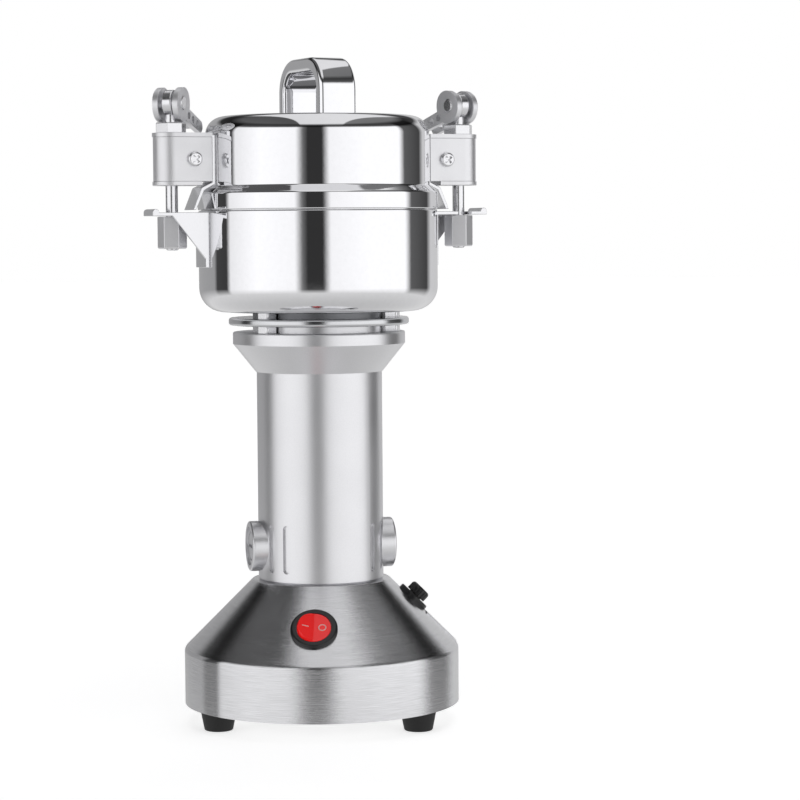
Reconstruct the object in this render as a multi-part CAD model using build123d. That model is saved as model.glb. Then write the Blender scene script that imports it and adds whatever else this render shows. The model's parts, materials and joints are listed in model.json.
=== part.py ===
from build123d import *
import math
import os

os.makedirs("parts", exist_ok=True)

# Swing-type electric grain grinder. Millimetres, +Z up, front (switch side) at -Y.
# The origin is on the floor, on the axis of the machine.

# Base: a pressed sheet skirt, a vertical band below a cone, closed by a flat plate.
BASE_R = 68.8
FOOT_HEIGHT = 10.2
BAND_HEIGHT = 27.4
BAND_CORNER_R = 3.5
CONE_ANGLE = 45.0
SKIRT_SHEET = 1.0
CONE_LEDGE = 3.1
PLATE_THICKNESS = 1.5
TAB_THICKNESS = 1.6
TAB_WIDTH = 16.0
FOOT_TOP_R = 9.0
FOOT_BOTTOM_R = 7.0
FOOT_INSET = 11.8
FOOT_SCREW_R = 2.0
FOOT_SCREW_HEAD_R = 3.8
FOOT_SCREW_RECESS = 4.2

# Rocker switch on the front of the cone.
SWITCH_BELOW_MIDDLE = 1.9
BEZEL_R = 11.5
BEZEL_HEIGHT = 2.0
BEZEL_NECK_R = 10.0
BEZEL_DEPTH = 13.0
ROCKER_R = 8.3
ROCKER_GAP = 0.3
ROCKER_TILT = 11.0
TERMINAL_LENGTH = 8.0

# Fuse holder and blank plate on the right of the cone, cord gland on the back.
FUSE_ANGLE = 10.0
FUSE_FROM_TOP = 16.4
FUSE_FLANGE_R = 8.5
FUSE_FLANGE_HEIGHT = 2.2
FUSE_BODY_R = 6.0
FUSE_BODY_DEPTH = 27.0
FUSE_CAP_R = 5.4
FUSE_CAP_HEIGHT = 4.8
FUSE_CAP_EDGE_R = 1.7
FUSE_R = 2.5
FUSE_LENGTH = 20.0
CARRIER_R = 3.6
NUT_THICKNESS = 3.0
LABEL_WIDTH = 18.0
LABEL_THICKNESS = 0.5
GLAND_FROM_TOP = 27.0
GLAND_FLANGE_R = 8.0
GLAND_NOSE_R = 5.6
GLAND_TIP_R = 4.6
GLAND_NOSE_LENGTH = 9.0
GLAND_DEPTH = 8.0
CORD_BORE_R = 3.5
PANEL_GAP = 0.2

# Motor barrel: one casting with two brush bosses and blind vent flutes.
BARREL_R = 31.3
BARREL_HEIGHT = 104.0
BARREL_WALL = 3.8
BARREL_LIP = 4.0
BARREL_LIP_WIDTH = 7.0
BRUSH_HEIGHT = 17.0
BRUSH_ANGLE = 15.0
BOSS_R = 12.5
BOSS_REACH = 5.2
BRUSH_CAP_R = 9.6
FLUTE_WIDTH = 3.9
FLUTE_LENGTH = 24.0
FLUTE_DEPTH = 1.3
FLUTE_OFFSETS = (-46.0, -28.0, 28.0, 46.0)
PART_GAP = 0.1

# Motor: wound stator, armature, commutator, two carbon brushes, ball bearings, fan.
SHAFT_R = 4.0
SHAFT_FIT = 0.03
BEARING_R = 11.0
BEARING_WIDTH = 7.0
BEARING_RING = 2.2
BRACKET_PLATE = 3.0
STATOR_YOKE = 3.4
COIL_DEPTH = 7.4
AIR_GAP = 0.5
STACK_START = 40.0
STACK_HEADROOM = 28.0
POLE_SPREAD = 110.0
WINDING_OVERHANG = 9.0
COMMUTATOR_R = 9.0
COMMUTATOR_LENGTH = 9.6
ARMATURE_SLOTS = 12
BRUSH_WIDTH = 6.0
BRUSH_LENGTH = 9.0
BRUSH_GAP = 0.15
FAN_HEIGHT = 10.0
FAN_HEADROOM = 8.0
FAN_BLADES = 11
FAN_EDGE_GAP = 1.5

# Upper housing: a flared casting that carries the bowl.
FLARE_GROWTH = 11.7
FLARE_RISE = 14.0
FLARE_BAND = 5.9
FLARE_WALL = 3.4
SPIGOT_LENGTH = 4.0
HUB_R = 33.0
HUB_RISE = 3.4
DISC_GROWTH = 13.7
DISC_THICKNESS = 3.7
BOWL_GAP = 3.0
POST_OUTSET = 5.9
POST_SIZE = 7.0
POST_ANGLE = -129.0
POST_SCREW_R = 2.0
POST_SCREW_HEAD_R = 3.8
HOUSING_SCREW_R = 1.5

# Bowl and lid, pressed stainless sheet.
BOWL_R = 59.5
BOWL_DEPTH = 50.2
BOWL_SHEET = 1.5
BOWL_CORNER_R = 12.0
SPIGOT_RING_HEIGHT = 5.0
SPIGOT_RING_WALL = 1.5
SEAL_R = 11.0
SEAM_GAP = 0.3
LID_SHEET = 1.2
LID_FLANGE_GROWTH = 0.3
LID_FLANGE_HEIGHT = 8.3
LID_STEP = 3.8
LID_STEP_RISE = 3.2
LID_HEIGHT = 46.0
LID_CORNER_R = 9.0
LID_DOME = 0.8

# Handle: a bent strap arch on the lid.
HANDLE_SPAN = 46.0
HANDLE_RISE = 28.6
HANDLE_WIDTH = 19.5
HANDLE_THICKNESS = 7.0
HANDLE_BEND_R = 16.5
HANDLE_EDGE_R = 2.2
HANDLE_ANGLE = -62.0
HANDLE_SCREW_R = 2.0

# Blades on the shaft.
LOWER_BLADE_CLEARANCE = 5.5
LOWER_BLADE_LENGTH = 104.0
UPPER_BLADE_LENGTH = 84.0
BLADE_WIDTH = 15.0
BLADE_THICKNESS = 2.0
BLADE_TIP_LENGTH = 12.0
BLADE_TIP_ANGLE = 35.0
BLADE_SPACING = 12.0
SPACER_R = 7.5

# Clamps: an eye bolt with a cam lever pulls the lid down on a forked bracket.
CLAMP_ANGLES = {"right": 22.0, "left": 202.0}
LEVER_ANGLES = {"right": 130.0, "left": 76.0}
BOLT_OFFSET = 15.5
BOLT_R = 3.0
BOLT_FIT = 0.08
CLAMP_NOSE_R = 9.3
CLAMP_RIM = 2.0
CLAMP_RIM_PROUD = 0.4
CLAMP_BOTTOM = 11.8
CLAMP_HEIGHT = 25.7
WRAP_SHEET = 1.2
BRACKET_SHEET = 1.6
BRACKET_WIDTH = 17.0
BRACKET_FLARE = 7.3
CLAMP_SCREW_R = 3.6
CLAMP_SCREW_INSET = 9.5
THRUST_FLATS = 13.2
THRUST_HEIGHT = 5.1
CAM_R = 9.1
CAM_DROP = 2.0
CAM_TURN = 150.0
CAM_GAP = 0.3
EAR_THICKNESS = 2.8
EAR_GAP = 7.6
EYE_R = 6.4
EYE_THICKNESS = 5.0
PIN_R = 3.4
PIN_FIT = 0.06
ARM_ROOT = (4.6, -4.9)
ARM_ROOT_R = 3.3
ARM_TIP = (23.5, -10.7)
ARM_TIP_R = 2.9
ARM_HOLE_R = 1.75
ARM_HOLE_PITCH = 5.9
ARM_HOLE_START = 3.4
WEB_THICKNESS = 1.6
FORK_PLATE = 1.7
FORK_REACH = 12.0
FORK_SLOT_GAP = 0.5
FORK_BELOW_SEAM = 1.2
FORK_STRIP_HEIGHT = 27.0
FORK_STRIP_SHEET = 1.8
FORK_CHEEK_PAST_BOLT = 2.0
FORK_LIP_R = 1.7
FORK_WIDTH = 18.0
NUT_FACE_ANGLE = -86.0
NUT_FLATS = 12.5
NUT_LENGTH = 15.7
NUT_GAP = 0.3

# Heights and radii that follow from the sizes above.
SLOPE = math.radians(CONE_ANGLE)
BAND_TOP = FOOT_HEIGHT + BAND_HEIGHT
CONE_TOP_R = BARREL_R + CONE_LEDGE
CONE_TOP = BAND_TOP + (BASE_R - CONE_TOP_R) * math.tan(SLOPE)
SLOPE_LENGTH = (BASE_R - CONE_TOP_R) / math.cos(SLOPE)
FOOT_CENTRE = BASE_R - FOOT_INSET
BARREL_TOP = CONE_TOP + BARREL_HEIGHT
BARREL_BORE = BARREL_R - BARREL_WALL
BRUSH_Z = CONE_TOP + BRUSH_HEIGHT
STATOR_R = BARREL_BORE - PART_GAP
POLE_R = STATOR_R - STATOR_YOKE - COIL_DEPTH
ARMATURE_R = POLE_R - AIR_GAP
STACK_LOW = CONE_TOP + STACK_START
STACK_HIGH = BARREL_TOP - STACK_HEADROOM
STACK_LENGTH = STACK_HIGH - STACK_LOW
FAN_HIGH = BARREL_TOP - FAN_HEADROOM
BRACKET_LOW = CONE_TOP + BARREL_LIP
FLARE_R = BARREL_R + FLARE_GROWTH
DISC_R = BARREL_R + DISC_GROWTH
POST_R = BARREL_R + POST_OUTSET
FLARE_SHOULDER = BARREL_TOP + FLARE_RISE
FLARE_TOP = FLARE_SHOULDER + FLARE_BAND
DISC_LOW = FLARE_TOP + HUB_RISE
DISC_TOP = DISC_LOW + DISC_THICKNESS
BOWL_LOW = DISC_TOP + BOWL_GAP
BOWL_RIM = BOWL_LOW + BOWL_DEPTH
SEAM = BOWL_RIM + SEAM_GAP
LID_WALL_R = BOWL_R - LID_STEP
LID_FLANGE_R = BOWL_R + LID_FLANGE_GROWTH
LID_SHOULDER = SEAM + LID_FLANGE_HEIGHT
LID_TOP = SEAM + LID_HEIGHT
CLAMP_R = BOWL_R + BOLT_OFFSET
CLAMP_LOW = SEAM + CLAMP_BOTTOM
CLAMP_HIGH = CLAMP_LOW + CLAMP_HEIGHT
THRUST_TOP = CLAMP_HIGH + THRUST_HEIGHT
PIN_Z = THRUST_TOP + CAM_GAP + CAM_R
BOLT_BORE_R = BOLT_R + BOLT_FIT
FORK_TOP = SEAM - FORK_BELOW_SEAM
FORK_LOW = FORK_TOP - FORK_PLATE
NUT_HIGH = FORK_LOW - NUT_GAP
NUT_LOW = NUT_HIGH - NUT_LENGTH
BRACKET_OUTER_R = LID_WALL_R + BRACKET_SHEET
HEAD_HEIGHT = 2.2
BEARING_LOW = BRACKET_LOW + 0.8
UPPER_BEARING_HIGH = FLARE_SHOULDER - 1.0

FROM_BELOW = (Align.CENTER, Align.CENTER, Align.MIN)


def disc(radius, low, high):
    """Solid cylinder about Z between two heights."""
    return Pos(0, 0, low) * Cylinder(radius, high - low, align=FROM_BELOW)


def tube(inner, outer, low, high):
    """Hollow cylinder about Z between two heights."""
    return disc(outer, low, high) - disc(inner, low, high)


def hexagon(flats, low, high):
    """Hexagonal bar about Z with the given width across flats."""
    return extrude(Pos(0, 0, low) * RegularPolygon(flats / 2, 6, major_radius=False), high - low)


def block(size_x, size_y, low, high):
    """Box centred on Z between two heights."""
    return Pos(0, 0, low) * Box(size_x, size_y, high - low, align=FROM_BELOW)


def turned(points, radii):
    """Solid turned about Z; the outline is (radius, height) points with rounded inner corners."""
    outline = FilletPolyline(*[(r, 0, z) for r, z in points], radius=radii)
    return revolve(make_face([outline, Line(outline @ 1, outline @ 0)]), Axis.Z)


def lathe(points):
    """Solid turned about Z from a closed, sharp (radius, height) outline."""
    return revolve(make_face(Polyline(*[(r, 0, z) for r, z in points], close=True)), Axis.Z)


def around(shape, radius, angles):
    """Copies of a shape moved out to a radius and turned to each angle about Z."""
    return [Rot(0, 0, angle) * Pos(radius, 0, 0) * shape for angle in angles]


def on_cone(shape, angle, from_top):
    """Place a shape on the cone: its +Z becomes the outward normal, +Y points up the slope."""
    radius = CONE_TOP_R + from_top * math.cos(SLOPE)
    height = CONE_TOP - from_top * math.sin(SLOPE)
    return Rot(0, 0, angle + 90) * Pos(0, -radius, height) * Rot(90 - CONE_ANGLE, 0, 0) * shape


def spread(count, start=0.0):
    """Evenly spaced angles in degrees."""
    return [start + 360.0 * step / count for step in range(count)]


FOOT_ANGLES = spread(3, -150.0)
POST_ANGLES = spread(3, POST_ANGLE)
SWITCH_FROM_TOP = SLOPE_LENGTH / 2 + SWITCH_BELOW_MIDDLE
SWITCH_ANGLE = -90.0
GLAND_ANGLE = 90.0


# ---------------------------------------------------------------- base
def skirt_volume(inset, low):
    """Space inside the skirt, its walls moved inwards by the inset."""
    corner_z = BAND_TOP + inset * math.tan(SLOPE) - inset / math.cos(SLOPE)
    top_r = BASE_R - (CONE_TOP - inset - BAND_TOP + inset / math.cos(SLOPE)) / math.tan(SLOPE)
    points = [(0, low), (BASE_R - inset, low), (BASE_R - inset, corner_z),
              (top_r, CONE_TOP - inset), (0, CONE_TOP - inset)]
    return turned(points, [0, BAND_CORNER_R - inset, 0])


def base_skirt():
    """Pressed skirt with holes for the panel parts and three tabs for the base screws."""
    shell = skirt_volume(0, FOOT_HEIGHT) - skirt_volume(SKIRT_SHEET, FOOT_HEIGHT - 1)
    shell -= disc(BARREL_BORE - BARREL_LIP_WIDTH + 1, BAND_TOP, CONE_TOP + 1)
    shell -= on_cone(Cylinder(BEZEL_NECK_R + PANEL_GAP, 12), SWITCH_ANGLE, SWITCH_FROM_TOP)
    shell -= on_cone(Cylinder(FUSE_BODY_R + PANEL_GAP, 12), FUSE_ANGLE, FUSE_FROM_TOP)
    shell -= on_cone(Cylinder(FUSE_BODY_R + PANEL_GAP, 12), GLAND_ANGLE, GLAND_FROM_TOP)
    tab_low = FOOT_HEIGHT + PLATE_THICKNESS
    tab = block(2 * FOOT_INSET, TAB_WIDTH, tab_low, tab_low + TAB_THICKNESS)
    tab -= disc(FOOT_SCREW_R + PANEL_GAP, tab_low, tab_low + TAB_THICKNESS)
    tabs = Part() + around(tab, FOOT_CENTRE, FOOT_ANGLES)
    shell += tabs & disc(BASE_R - SKIRT_SHEET / 2, FOOT_HEIGHT, BAND_TOP)
    for angle in spread(3, -30.0):
        hole = Rot(0, 0, angle) * Pos(BARREL_BORE - BARREL_LIP_WIDTH / 2, 0, CONE_TOP)
        shell -= hole * Cylinder(FOOT_SCREW_R + PANEL_GAP, 6)
    return shell


def base_plate():
    """Flat plate inside the band, with three screw holes and rows of air slots."""
    plate = disc(BASE_R - SKIRT_SHEET - PART_GAP, FOOT_HEIGHT, FOOT_HEIGHT + PLATE_THICKNESS)
    hole = Cylinder(FOOT_SCREW_R + PANEL_GAP, 40)
    for cut in around(hole, FOOT_CENTRE, FOOT_ANGLES):
        plate -= cut
    for angle in spread(12):
        slot = SlotOverall(22, 4)
        plate -= Rot(0, 0, angle) * Pos(30, 0, FOOT_HEIGHT - 1) * extrude(slot, 4)
    return plate


def rubber_feet():
    """Three tapered feet, each recessed for a screw head."""
    foot = lathe([(0, 0), (FOOT_BOTTOM_R, 0), (FOOT_TOP_R, FOOT_HEIGHT), (0, FOOT_HEIGHT)])
    foot = fillet(foot.edges().group_by(Axis.Z)[0], 1.0)
    foot -= disc(FOOT_SCREW_HEAD_R + PANEL_GAP, -1, FOOT_SCREW_RECESS)
    foot -= disc(FOOT_SCREW_R, 0, FOOT_HEIGHT)
    return Part() + around(foot, FOOT_CENTRE, FOOT_ANGLES)


def base_screws():
    """Foot screws with their nuts, and the screws that hold the barrel on the skirt."""
    nut_low = FOOT_HEIGHT + PLATE_THICKNESS + TAB_THICKNESS
    screw = disc(FOOT_SCREW_R, FOOT_SCREW_RECESS, nut_low + 6)
    screw += disc(FOOT_SCREW_HEAD_R, FOOT_SCREW_RECESS - HEAD_HEIGHT, FOOT_SCREW_RECESS)
    screw -= block(0.9, 5.0, FOOT_SCREW_RECESS - HEAD_HEIGHT, FOOT_SCREW_RECESS - 1)
    screw -= block(5.0, 0.9, FOOT_SCREW_RECESS - HEAD_HEIGHT, FOOT_SCREW_RECESS - 1)
    screw += hexagon(7.0, nut_low, nut_low + 3.2)
    head_top = CONE_TOP - SKIRT_SHEET
    lip_screw = disc(FOOT_SCREW_R, head_top, CONE_TOP + BARREL_LIP - 0.3)
    lip_screw += disc(FOOT_SCREW_HEAD_R - 0.5, head_top - HEAD_HEIGHT, head_top)
    lip_r = BARREL_BORE - BARREL_LIP_WIDTH / 2
    return Part() + around(screw, FOOT_CENTRE, FOOT_ANGLES) + around(lip_screw, lip_r, spread(3, -30.0))


# ---------------------------------------------------------------- panel parts
def seated(shape, angle, from_top):
    """A panel part on the cone, trimmed to the curved sheet that it sits on."""
    placed = on_cone(shape, angle, from_top)
    flange_side = placed - skirt_volume(0, FOOT_HEIGHT)
    return flange_side


def switch_bezel():
    """Round bezel on the cone with the body of the switch behind it."""
    rim = disc(BEZEL_R, -1.5, BEZEL_HEIGHT)
    rim = fillet(rim.edges().group_by(Axis.Z)[-1], 1.3)
    flange = seated(rim, SWITCH_ANGLE, SWITCH_FROM_TOP)
    neck = on_cone(disc(BEZEL_NECK_R, -BEZEL_DEPTH, 0.4), SWITCH_ANGLE, SWITCH_FROM_TOP)
    cavity = disc(ROCKER_R + ROCKER_GAP, -BEZEL_DEPTH + 2, BEZEL_HEIGHT + 1)
    return flange + neck - on_cone(cavity, SWITCH_ANGLE, SWITCH_FROM_TOP)


def rocker():
    """Rocker with two flat faces; the right-hand face is pressed level with the bezel."""
    pivot_z = BEZEL_HEIGHT / 2
    level = BEZEL_HEIGHT - 0.2
    rise = ROCKER_R * math.tan(math.radians(2 * ROCKER_TILT))
    outline = Polyline((-ROCKER_R, 0, -5.5), (ROCKER_R, 0, -5.5), (ROCKER_R, 0, level),
                       (0, 0, level), (-ROCKER_R, 0, level + rise), close=True)
    wedge = Pos(0, ROCKER_R, 0) * extrude(make_face(outline), 2 * ROCKER_R, dir=(0, -1, 0))
    body = wedge & (Pos(0, 0, pivot_z) * Sphere(ROCKER_R))
    return on_cone(body, SWITCH_ANGLE, SWITCH_FROM_TOP)


def switch_terminals():
    """Four flat blades on the back of the switch."""
    tab = block(0.8, 4.8, -BEZEL_DEPTH - TERMINAL_LENGTH, -BEZEL_DEPTH)
    tabs = [Pos(x, y, 0) * tab for x in (-5, 5) for y in (-4, 4)]
    return on_cone(Part() + tabs, SWITCH_ANGLE, SWITCH_FROM_TOP)


def fuse_holder_body():
    """Panel fuse holder: flange outside, barrel through the sheet, bore for the carrier."""
    rim = disc(FUSE_FLANGE_R, -1.2, FUSE_FLANGE_HEIGHT)
    rim = fillet(rim.edges().group_by(Axis.Z)[-1], 0.7)
    flange = seated(rim, FUSE_ANGLE, FUSE_FROM_TOP)
    neck = disc(FUSE_BODY_R, -FUSE_BODY_DEPTH, 0.4)
    bore = disc(CARRIER_R + 0.3, -FUSE_BODY_DEPTH + 2, FUSE_FLANGE_HEIGHT + 1)
    return flange + on_cone(neck, FUSE_ANGLE, FUSE_FROM_TOP) - on_cone(bore, FUSE_ANGLE, FUSE_FROM_TOP)


def panel_nuts():
    """Nuts behind the sheet for the fuse holder and the gland."""
    nuts = Part()
    for angle, from_top in ((FUSE_ANGLE, FUSE_FROM_TOP), (GLAND_ANGLE, GLAND_FROM_TOP)):
        low = -SKIRT_SHEET - 0.9 - NUT_THICKNESS
        nut = hexagon(2 * FUSE_BODY_R + 4, low, low + NUT_THICKNESS)
        nut -= disc(FUSE_BODY_R, low, low + NUT_THICKNESS)
        nuts += on_cone(nut, angle, from_top)
    return nuts


def fuse_carrier():
    """Sleeve that grips the glass fuse and slides out of the holder."""
    carrier = tube(FUSE_R + 0.05, CARRIER_R, FUSE_FLANGE_HEIGHT - 12, FUSE_FLANGE_HEIGHT + 0.3)
    carrier += disc(CARRIER_R, FUSE_FLANGE_HEIGHT + 0.3, FUSE_FLANGE_HEIGHT + 2.0)
    return on_cone(carrier, FUSE_ANGLE, FUSE_FROM_TOP)


def glass_fuse():
    """Glass tube fuse with two metal end caps."""
    high = FUSE_FLANGE_HEIGHT + 0.3
    fuse = disc(FUSE_R - 0.2, high - FUSE_LENGTH, high)
    fuse += disc(FUSE_R, high - 5, high) + disc(FUSE_R, high - FUSE_LENGTH, high - FUSE_LENGTH + 5)
    return on_cone(fuse, FUSE_ANGLE, FUSE_FROM_TOP)


def fuse_cap():
    """Finger cap with fine grip ribs and a screwdriver slot."""
    low = FUSE_FLANGE_HEIGHT + 0.3
    cap = disc(FUSE_CAP_R, low, low + FUSE_CAP_HEIGHT)
    cap = fillet(cap.edges().group_by(Axis.Z)[-1], FUSE_CAP_EDGE_R)
    cap -= disc(CARRIER_R + 0.1, low, low + 1.9)
    for cut in around(Cylinder(0.45, 2 * FUSE_CAP_HEIGHT + 8), FUSE_CAP_R, spread(18)):
        cap -= cut
    cap -= block(1.2, 7.0, low + FUSE_CAP_HEIGHT - 1.0, low + FUSE_CAP_HEIGHT)
    return on_cone(cap, FUSE_ANGLE, FUSE_FROM_TOP)


def cord_gland():
    """Strain-relief bush on the back of the cone, bored for the mains cord."""
    rim = disc(GLAND_FLANGE_R, -1.2, 3.0)
    rim = fillet(rim.edges().group_by(Axis.Z)[-1], 0.8)
    flange = seated(rim, GLAND_ANGLE, GLAND_FROM_TOP)
    nose = lathe([(0, 2.5), (GLAND_NOSE_R, 2.5), (GLAND_TIP_R, 2.5 + GLAND_NOSE_LENGTH), (0, 2.5 + GLAND_NOSE_LENGTH)])
    nose += disc(FUSE_BODY_R, -GLAND_DEPTH, 0.4)
    bore = disc(CORD_BORE_R, -GLAND_DEPTH - 1, GLAND_NOSE_LENGTH + 4)
    return flange + on_cone(nose, GLAND_ANGLE, GLAND_FROM_TOP) - on_cone(bore, GLAND_ANGLE, GLAND_FROM_TOP)


def rating_plate():
    """Thin blank plate wrapped on the cone below the fuse holder."""
    start = FUSE_FROM_TOP + FUSE_FLANGE_R + 0.8
    length = SLOPE_LENGTH - start - 2.2
    skin = skirt_volume(-LABEL_THICKNESS, FOOT_HEIGHT) - skirt_volume(0, FOOT_HEIGHT - 1)
    window = Box(LABEL_WIDTH, length, 6)
    return skin & on_cone(window, FUSE_ANGLE, start + length / 2)


# ---------------------------------------------------------------- motor barrel
def radial(shape, angle, height):
    """Turn a shape that points along +Z to point outwards at an angle and height."""
    return Rot(0, 0, angle) * Pos(0, 0, height) * Rot(0, 90, 0) * shape


BRUSH_ANGLES = (BRUSH_ANGLE, BRUSH_ANGLE + 180.0)
BOSS_FACE = BARREL_R + BOSS_REACH


def motor_barrel():
    """Cast barrel with brush bosses, blind flutes, an inner lip and screw holes."""
    barrel = disc(BARREL_R, CONE_TOP, BARREL_TOP)
    barrel = chamfer(barrel.edges().group_by(Axis.Z)[0], 0.8)
    boss = disc(BOSS_R, BARREL_BORE - 4, BOSS_FACE)
    boss = fillet(boss.edges().group_by(Axis.Z)[-1], 1.0)
    for angle in BRUSH_ANGLES:
        barrel += radial(boss, angle, BRUSH_Z)
    barrel -= disc(BARREL_BORE, CONE_TOP + BARREL_LIP, BARREL_TOP)
    barrel -= disc(BARREL_BORE - BARREL_LIP_WIDTH, CONE_TOP, CONE_TOP + BARREL_LIP)
    for angle in BRUSH_ANGLES:
        barrel -= radial(disc(BRUSH_CAP_R + PART_GAP, BARREL_BORE + 1, BOSS_FACE + 1), angle, BRUSH_Z)
        barrel -= radial(disc(5.0 + PART_GAP, BARREL_BORE - 6, BARREL_R), angle, BRUSH_Z)
        for offset in FLUTE_OFFSETS:
            slot = extrude(SlotOverall(FLUTE_LENGTH, FLUTE_WIDTH), 6)
            barrel -= radial(Pos(0, 0, BARREL_R - FLUTE_DEPTH) * slot, angle + offset, BRUSH_Z)
    lip_r = BARREL_BORE - BARREL_LIP_WIDTH / 2
    for angle in spread(3, -30.0):
        barrel -= Rot(0, 0, angle) * Pos(lip_r, 0, 0) * disc(FOOT_SCREW_R, CONE_TOP, CONE_TOP + BARREL_LIP)
    for cut in around(disc(HOUSING_SCREW_R, BARREL_TOP - 10, BARREL_TOP), BARREL_R - BARREL_WALL / 2, spread(4, 45)):
        barrel -= cut
    return barrel


def brush_caps():
    """Slotted screw caps that close the brush bosses."""
    low = BARREL_BORE + 1.2
    cap = disc(BRUSH_CAP_R, low, BOSS_FACE - 0.9)
    cap = chamfer(cap.edges().group_by(Axis.Z)[-1], 0.5)
    cap -= tube(BRUSH_CAP_R - 3.1, BRUSH_CAP_R - 2.3, BOSS_FACE - 1.5, BOSS_FACE)
    cap -= block(1.6, 11.0, BOSS_FACE - 2.6, BOSS_FACE)
    return Part() + [radial(cap, angle, BRUSH_Z) for angle in BRUSH_ANGLES]


def brush_holders():
    """Round tubes with a square bore that guide the brushes."""
    low = COMMUTATOR_R + 2.5
    holder = disc(5.0, low, BARREL_BORE + 1.1)
    holder -= block(BRUSH_WIDTH + 0.1, BRUSH_WIDTH + 0.1, low, BARREL_BORE + 1.1)
    return Part() + [radial(holder, angle, BRUSH_Z) for angle in BRUSH_ANGLES]


def carbon_brushes():
    """Square carbon brushes that run on the commutator."""
    low = COMMUTATOR_R + BRUSH_GAP
    brush = block(BRUSH_WIDTH, BRUSH_WIDTH, low, low + BRUSH_LENGTH)
    return Part() + [radial(brush, angle, BRUSH_Z) for angle in BRUSH_ANGLES]


def brush_springs():
    """Compressed springs behind the brushes, as stacks of open rings."""
    low = COMMUTATOR_R + BRUSH_GAP + BRUSH_LENGTH + 0.1
    high = BARREL_BORE + 1.0
    turns = 6
    pitch = (high - low) / turns
    spring = tube(2.0, 2.25, low, high)
    for turn in range(turns):
        middle = low + (turn + 0.5) * pitch
        spring += tube(1.9, 2.6, middle - 0.3, middle + 0.3)
    return Part() + [radial(spring, angle, BRUSH_Z) for angle in BRUSH_ANGLES]


def stator_core():
    """Laminated ring with two wide poles."""
    ring = tube(STATOR_R - STATOR_YOKE, STATOR_R, STACK_LOW, STACK_HIGH)
    pole_ring = tube(POLE_R, STATOR_R - STATOR_YOKE / 2, STACK_LOW, STACK_HIGH)
    tip_ring = tube(POLE_R, POLE_R + 2.2, STACK_LOW, STACK_HIGH)
    neck = block(4 * STATOR_R, 1.1 * POLE_R, STACK_LOW, STACK_HIGH)
    half = math.radians(POLE_SPREAD / 2)
    tips = Part()
    for side in (1, -1):
        reach = side * 2 * POLE_R
        fan = Polyline((0, 0), (reach * math.cos(half), reach * math.sin(half)),
                       (reach * math.cos(half) * 2, 0), (reach * math.cos(half), -reach * math.sin(half)), close=True)
        wedge = extrude(Pos(0, 0, STACK_LOW) * make_face(fan), STACK_LENGTH)
        tips += tip_ring & wedge
    return ring + (pole_ring & neck) + tips


def field_coils():
    """Two wound coils around the poles, seen as end bundles above and below the stack."""
    inner = POLE_R + 2.4
    outer = STATOR_R - STATOR_YOKE - 0.2
    low = STACK_LOW - WINDING_OVERHANG
    high = STACK_HIGH + WINDING_OVERHANG
    ring = tube(inner, outer, low, STACK_LOW - 0.1) + tube(inner, outer, STACK_HIGH + 0.1, high)
    sides = tube(inner, outer, low, high) & block(0.7 * POLE_R, 4 * STATOR_R, low, high)
    coils = ring + sides
    coils -= block(1.2, 4 * STATOR_R, low, high)
    return coils


def armature_core():
    """Slotted laminated rotor core."""
    core = tube(SHAFT_R, ARMATURE_R, STACK_LOW, STACK_HIGH)
    slot = block(3.6, 2.4, STACK_LOW, STACK_HIGH)
    for cut in around(slot, ARMATURE_R - 2.4, spread(ARMATURE_SLOTS)):
        core -= cut
    mouth = block(3.0, 1.0, STACK_LOW, STACK_HIGH)
    for cut in around(mouth, ARMATURE_R, spread(ARMATURE_SLOTS)):
        core -= cut
    return core


def armature_windings():
    """Copper end bundles and the wires in the slots."""
    inner = SHAFT_R + 3.5
    outer = ARMATURE_R - 1.0
    low = STACK_LOW - WINDING_OVERHANG + 1.5
    high = STACK_HIGH + WINDING_OVERHANG - 1.5
    lower = tube(inner, outer, low, STACK_LOW - 0.05)
    upper = tube(inner, outer, STACK_HIGH + 0.05, high)
    lower = fillet(lower.edges().filter_by(GeomType.CIRCLE).group_by(Axis.Z)[0], 1.2)
    upper = fillet(upper.edges().filter_by(GeomType.CIRCLE).group_by(Axis.Z)[-1], 1.2)
    windings = Part() + [lower, upper]
    for wire in around(block(3.2, 2.0, low + 2, high - 2), ARMATURE_R - 2.4, spread(ARMATURE_SLOTS)):
        windings += wire
    return windings


def commutator():
    """Copper segments with slots between them and risers at the top."""
    low = BRUSH_Z - COMMUTATOR_LENGTH / 2
    high = BRUSH_Z + COMMUTATOR_LENGTH / 2
    body = disc(COMMUTATOR_R, low, high) + disc(COMMUTATOR_R + 1.0, high - 1.6, high)
    body -= disc(SHAFT_R, low, high)
    for cut in around(block(1.6, 0.5, low, high + 1), COMMUTATOR_R + 0.6, spread(2 * ARMATURE_SLOTS)):
        body -= cut
    return body


def bearing(low):
    """Ball bearing: two rings with a recessed cage between them."""
    high = low + BEARING_WIDTH
    ring = tube(SHAFT_R + SHAFT_FIT, BEARING_R, low, high)
    groove = tube(SHAFT_R + BEARING_RING, BEARING_R - BEARING_RING, low, low + 0.8)
    return ring - groove - (Pos(0, 0, BEARING_WIDTH - 0.8) * groove)


def shaft_bearings():
    """The lower and the upper bearing of the motor shaft."""
    return Part() + [bearing(BEARING_LOW), bearing(UPPER_BEARING_HIGH - BEARING_WIDTH)]


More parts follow.
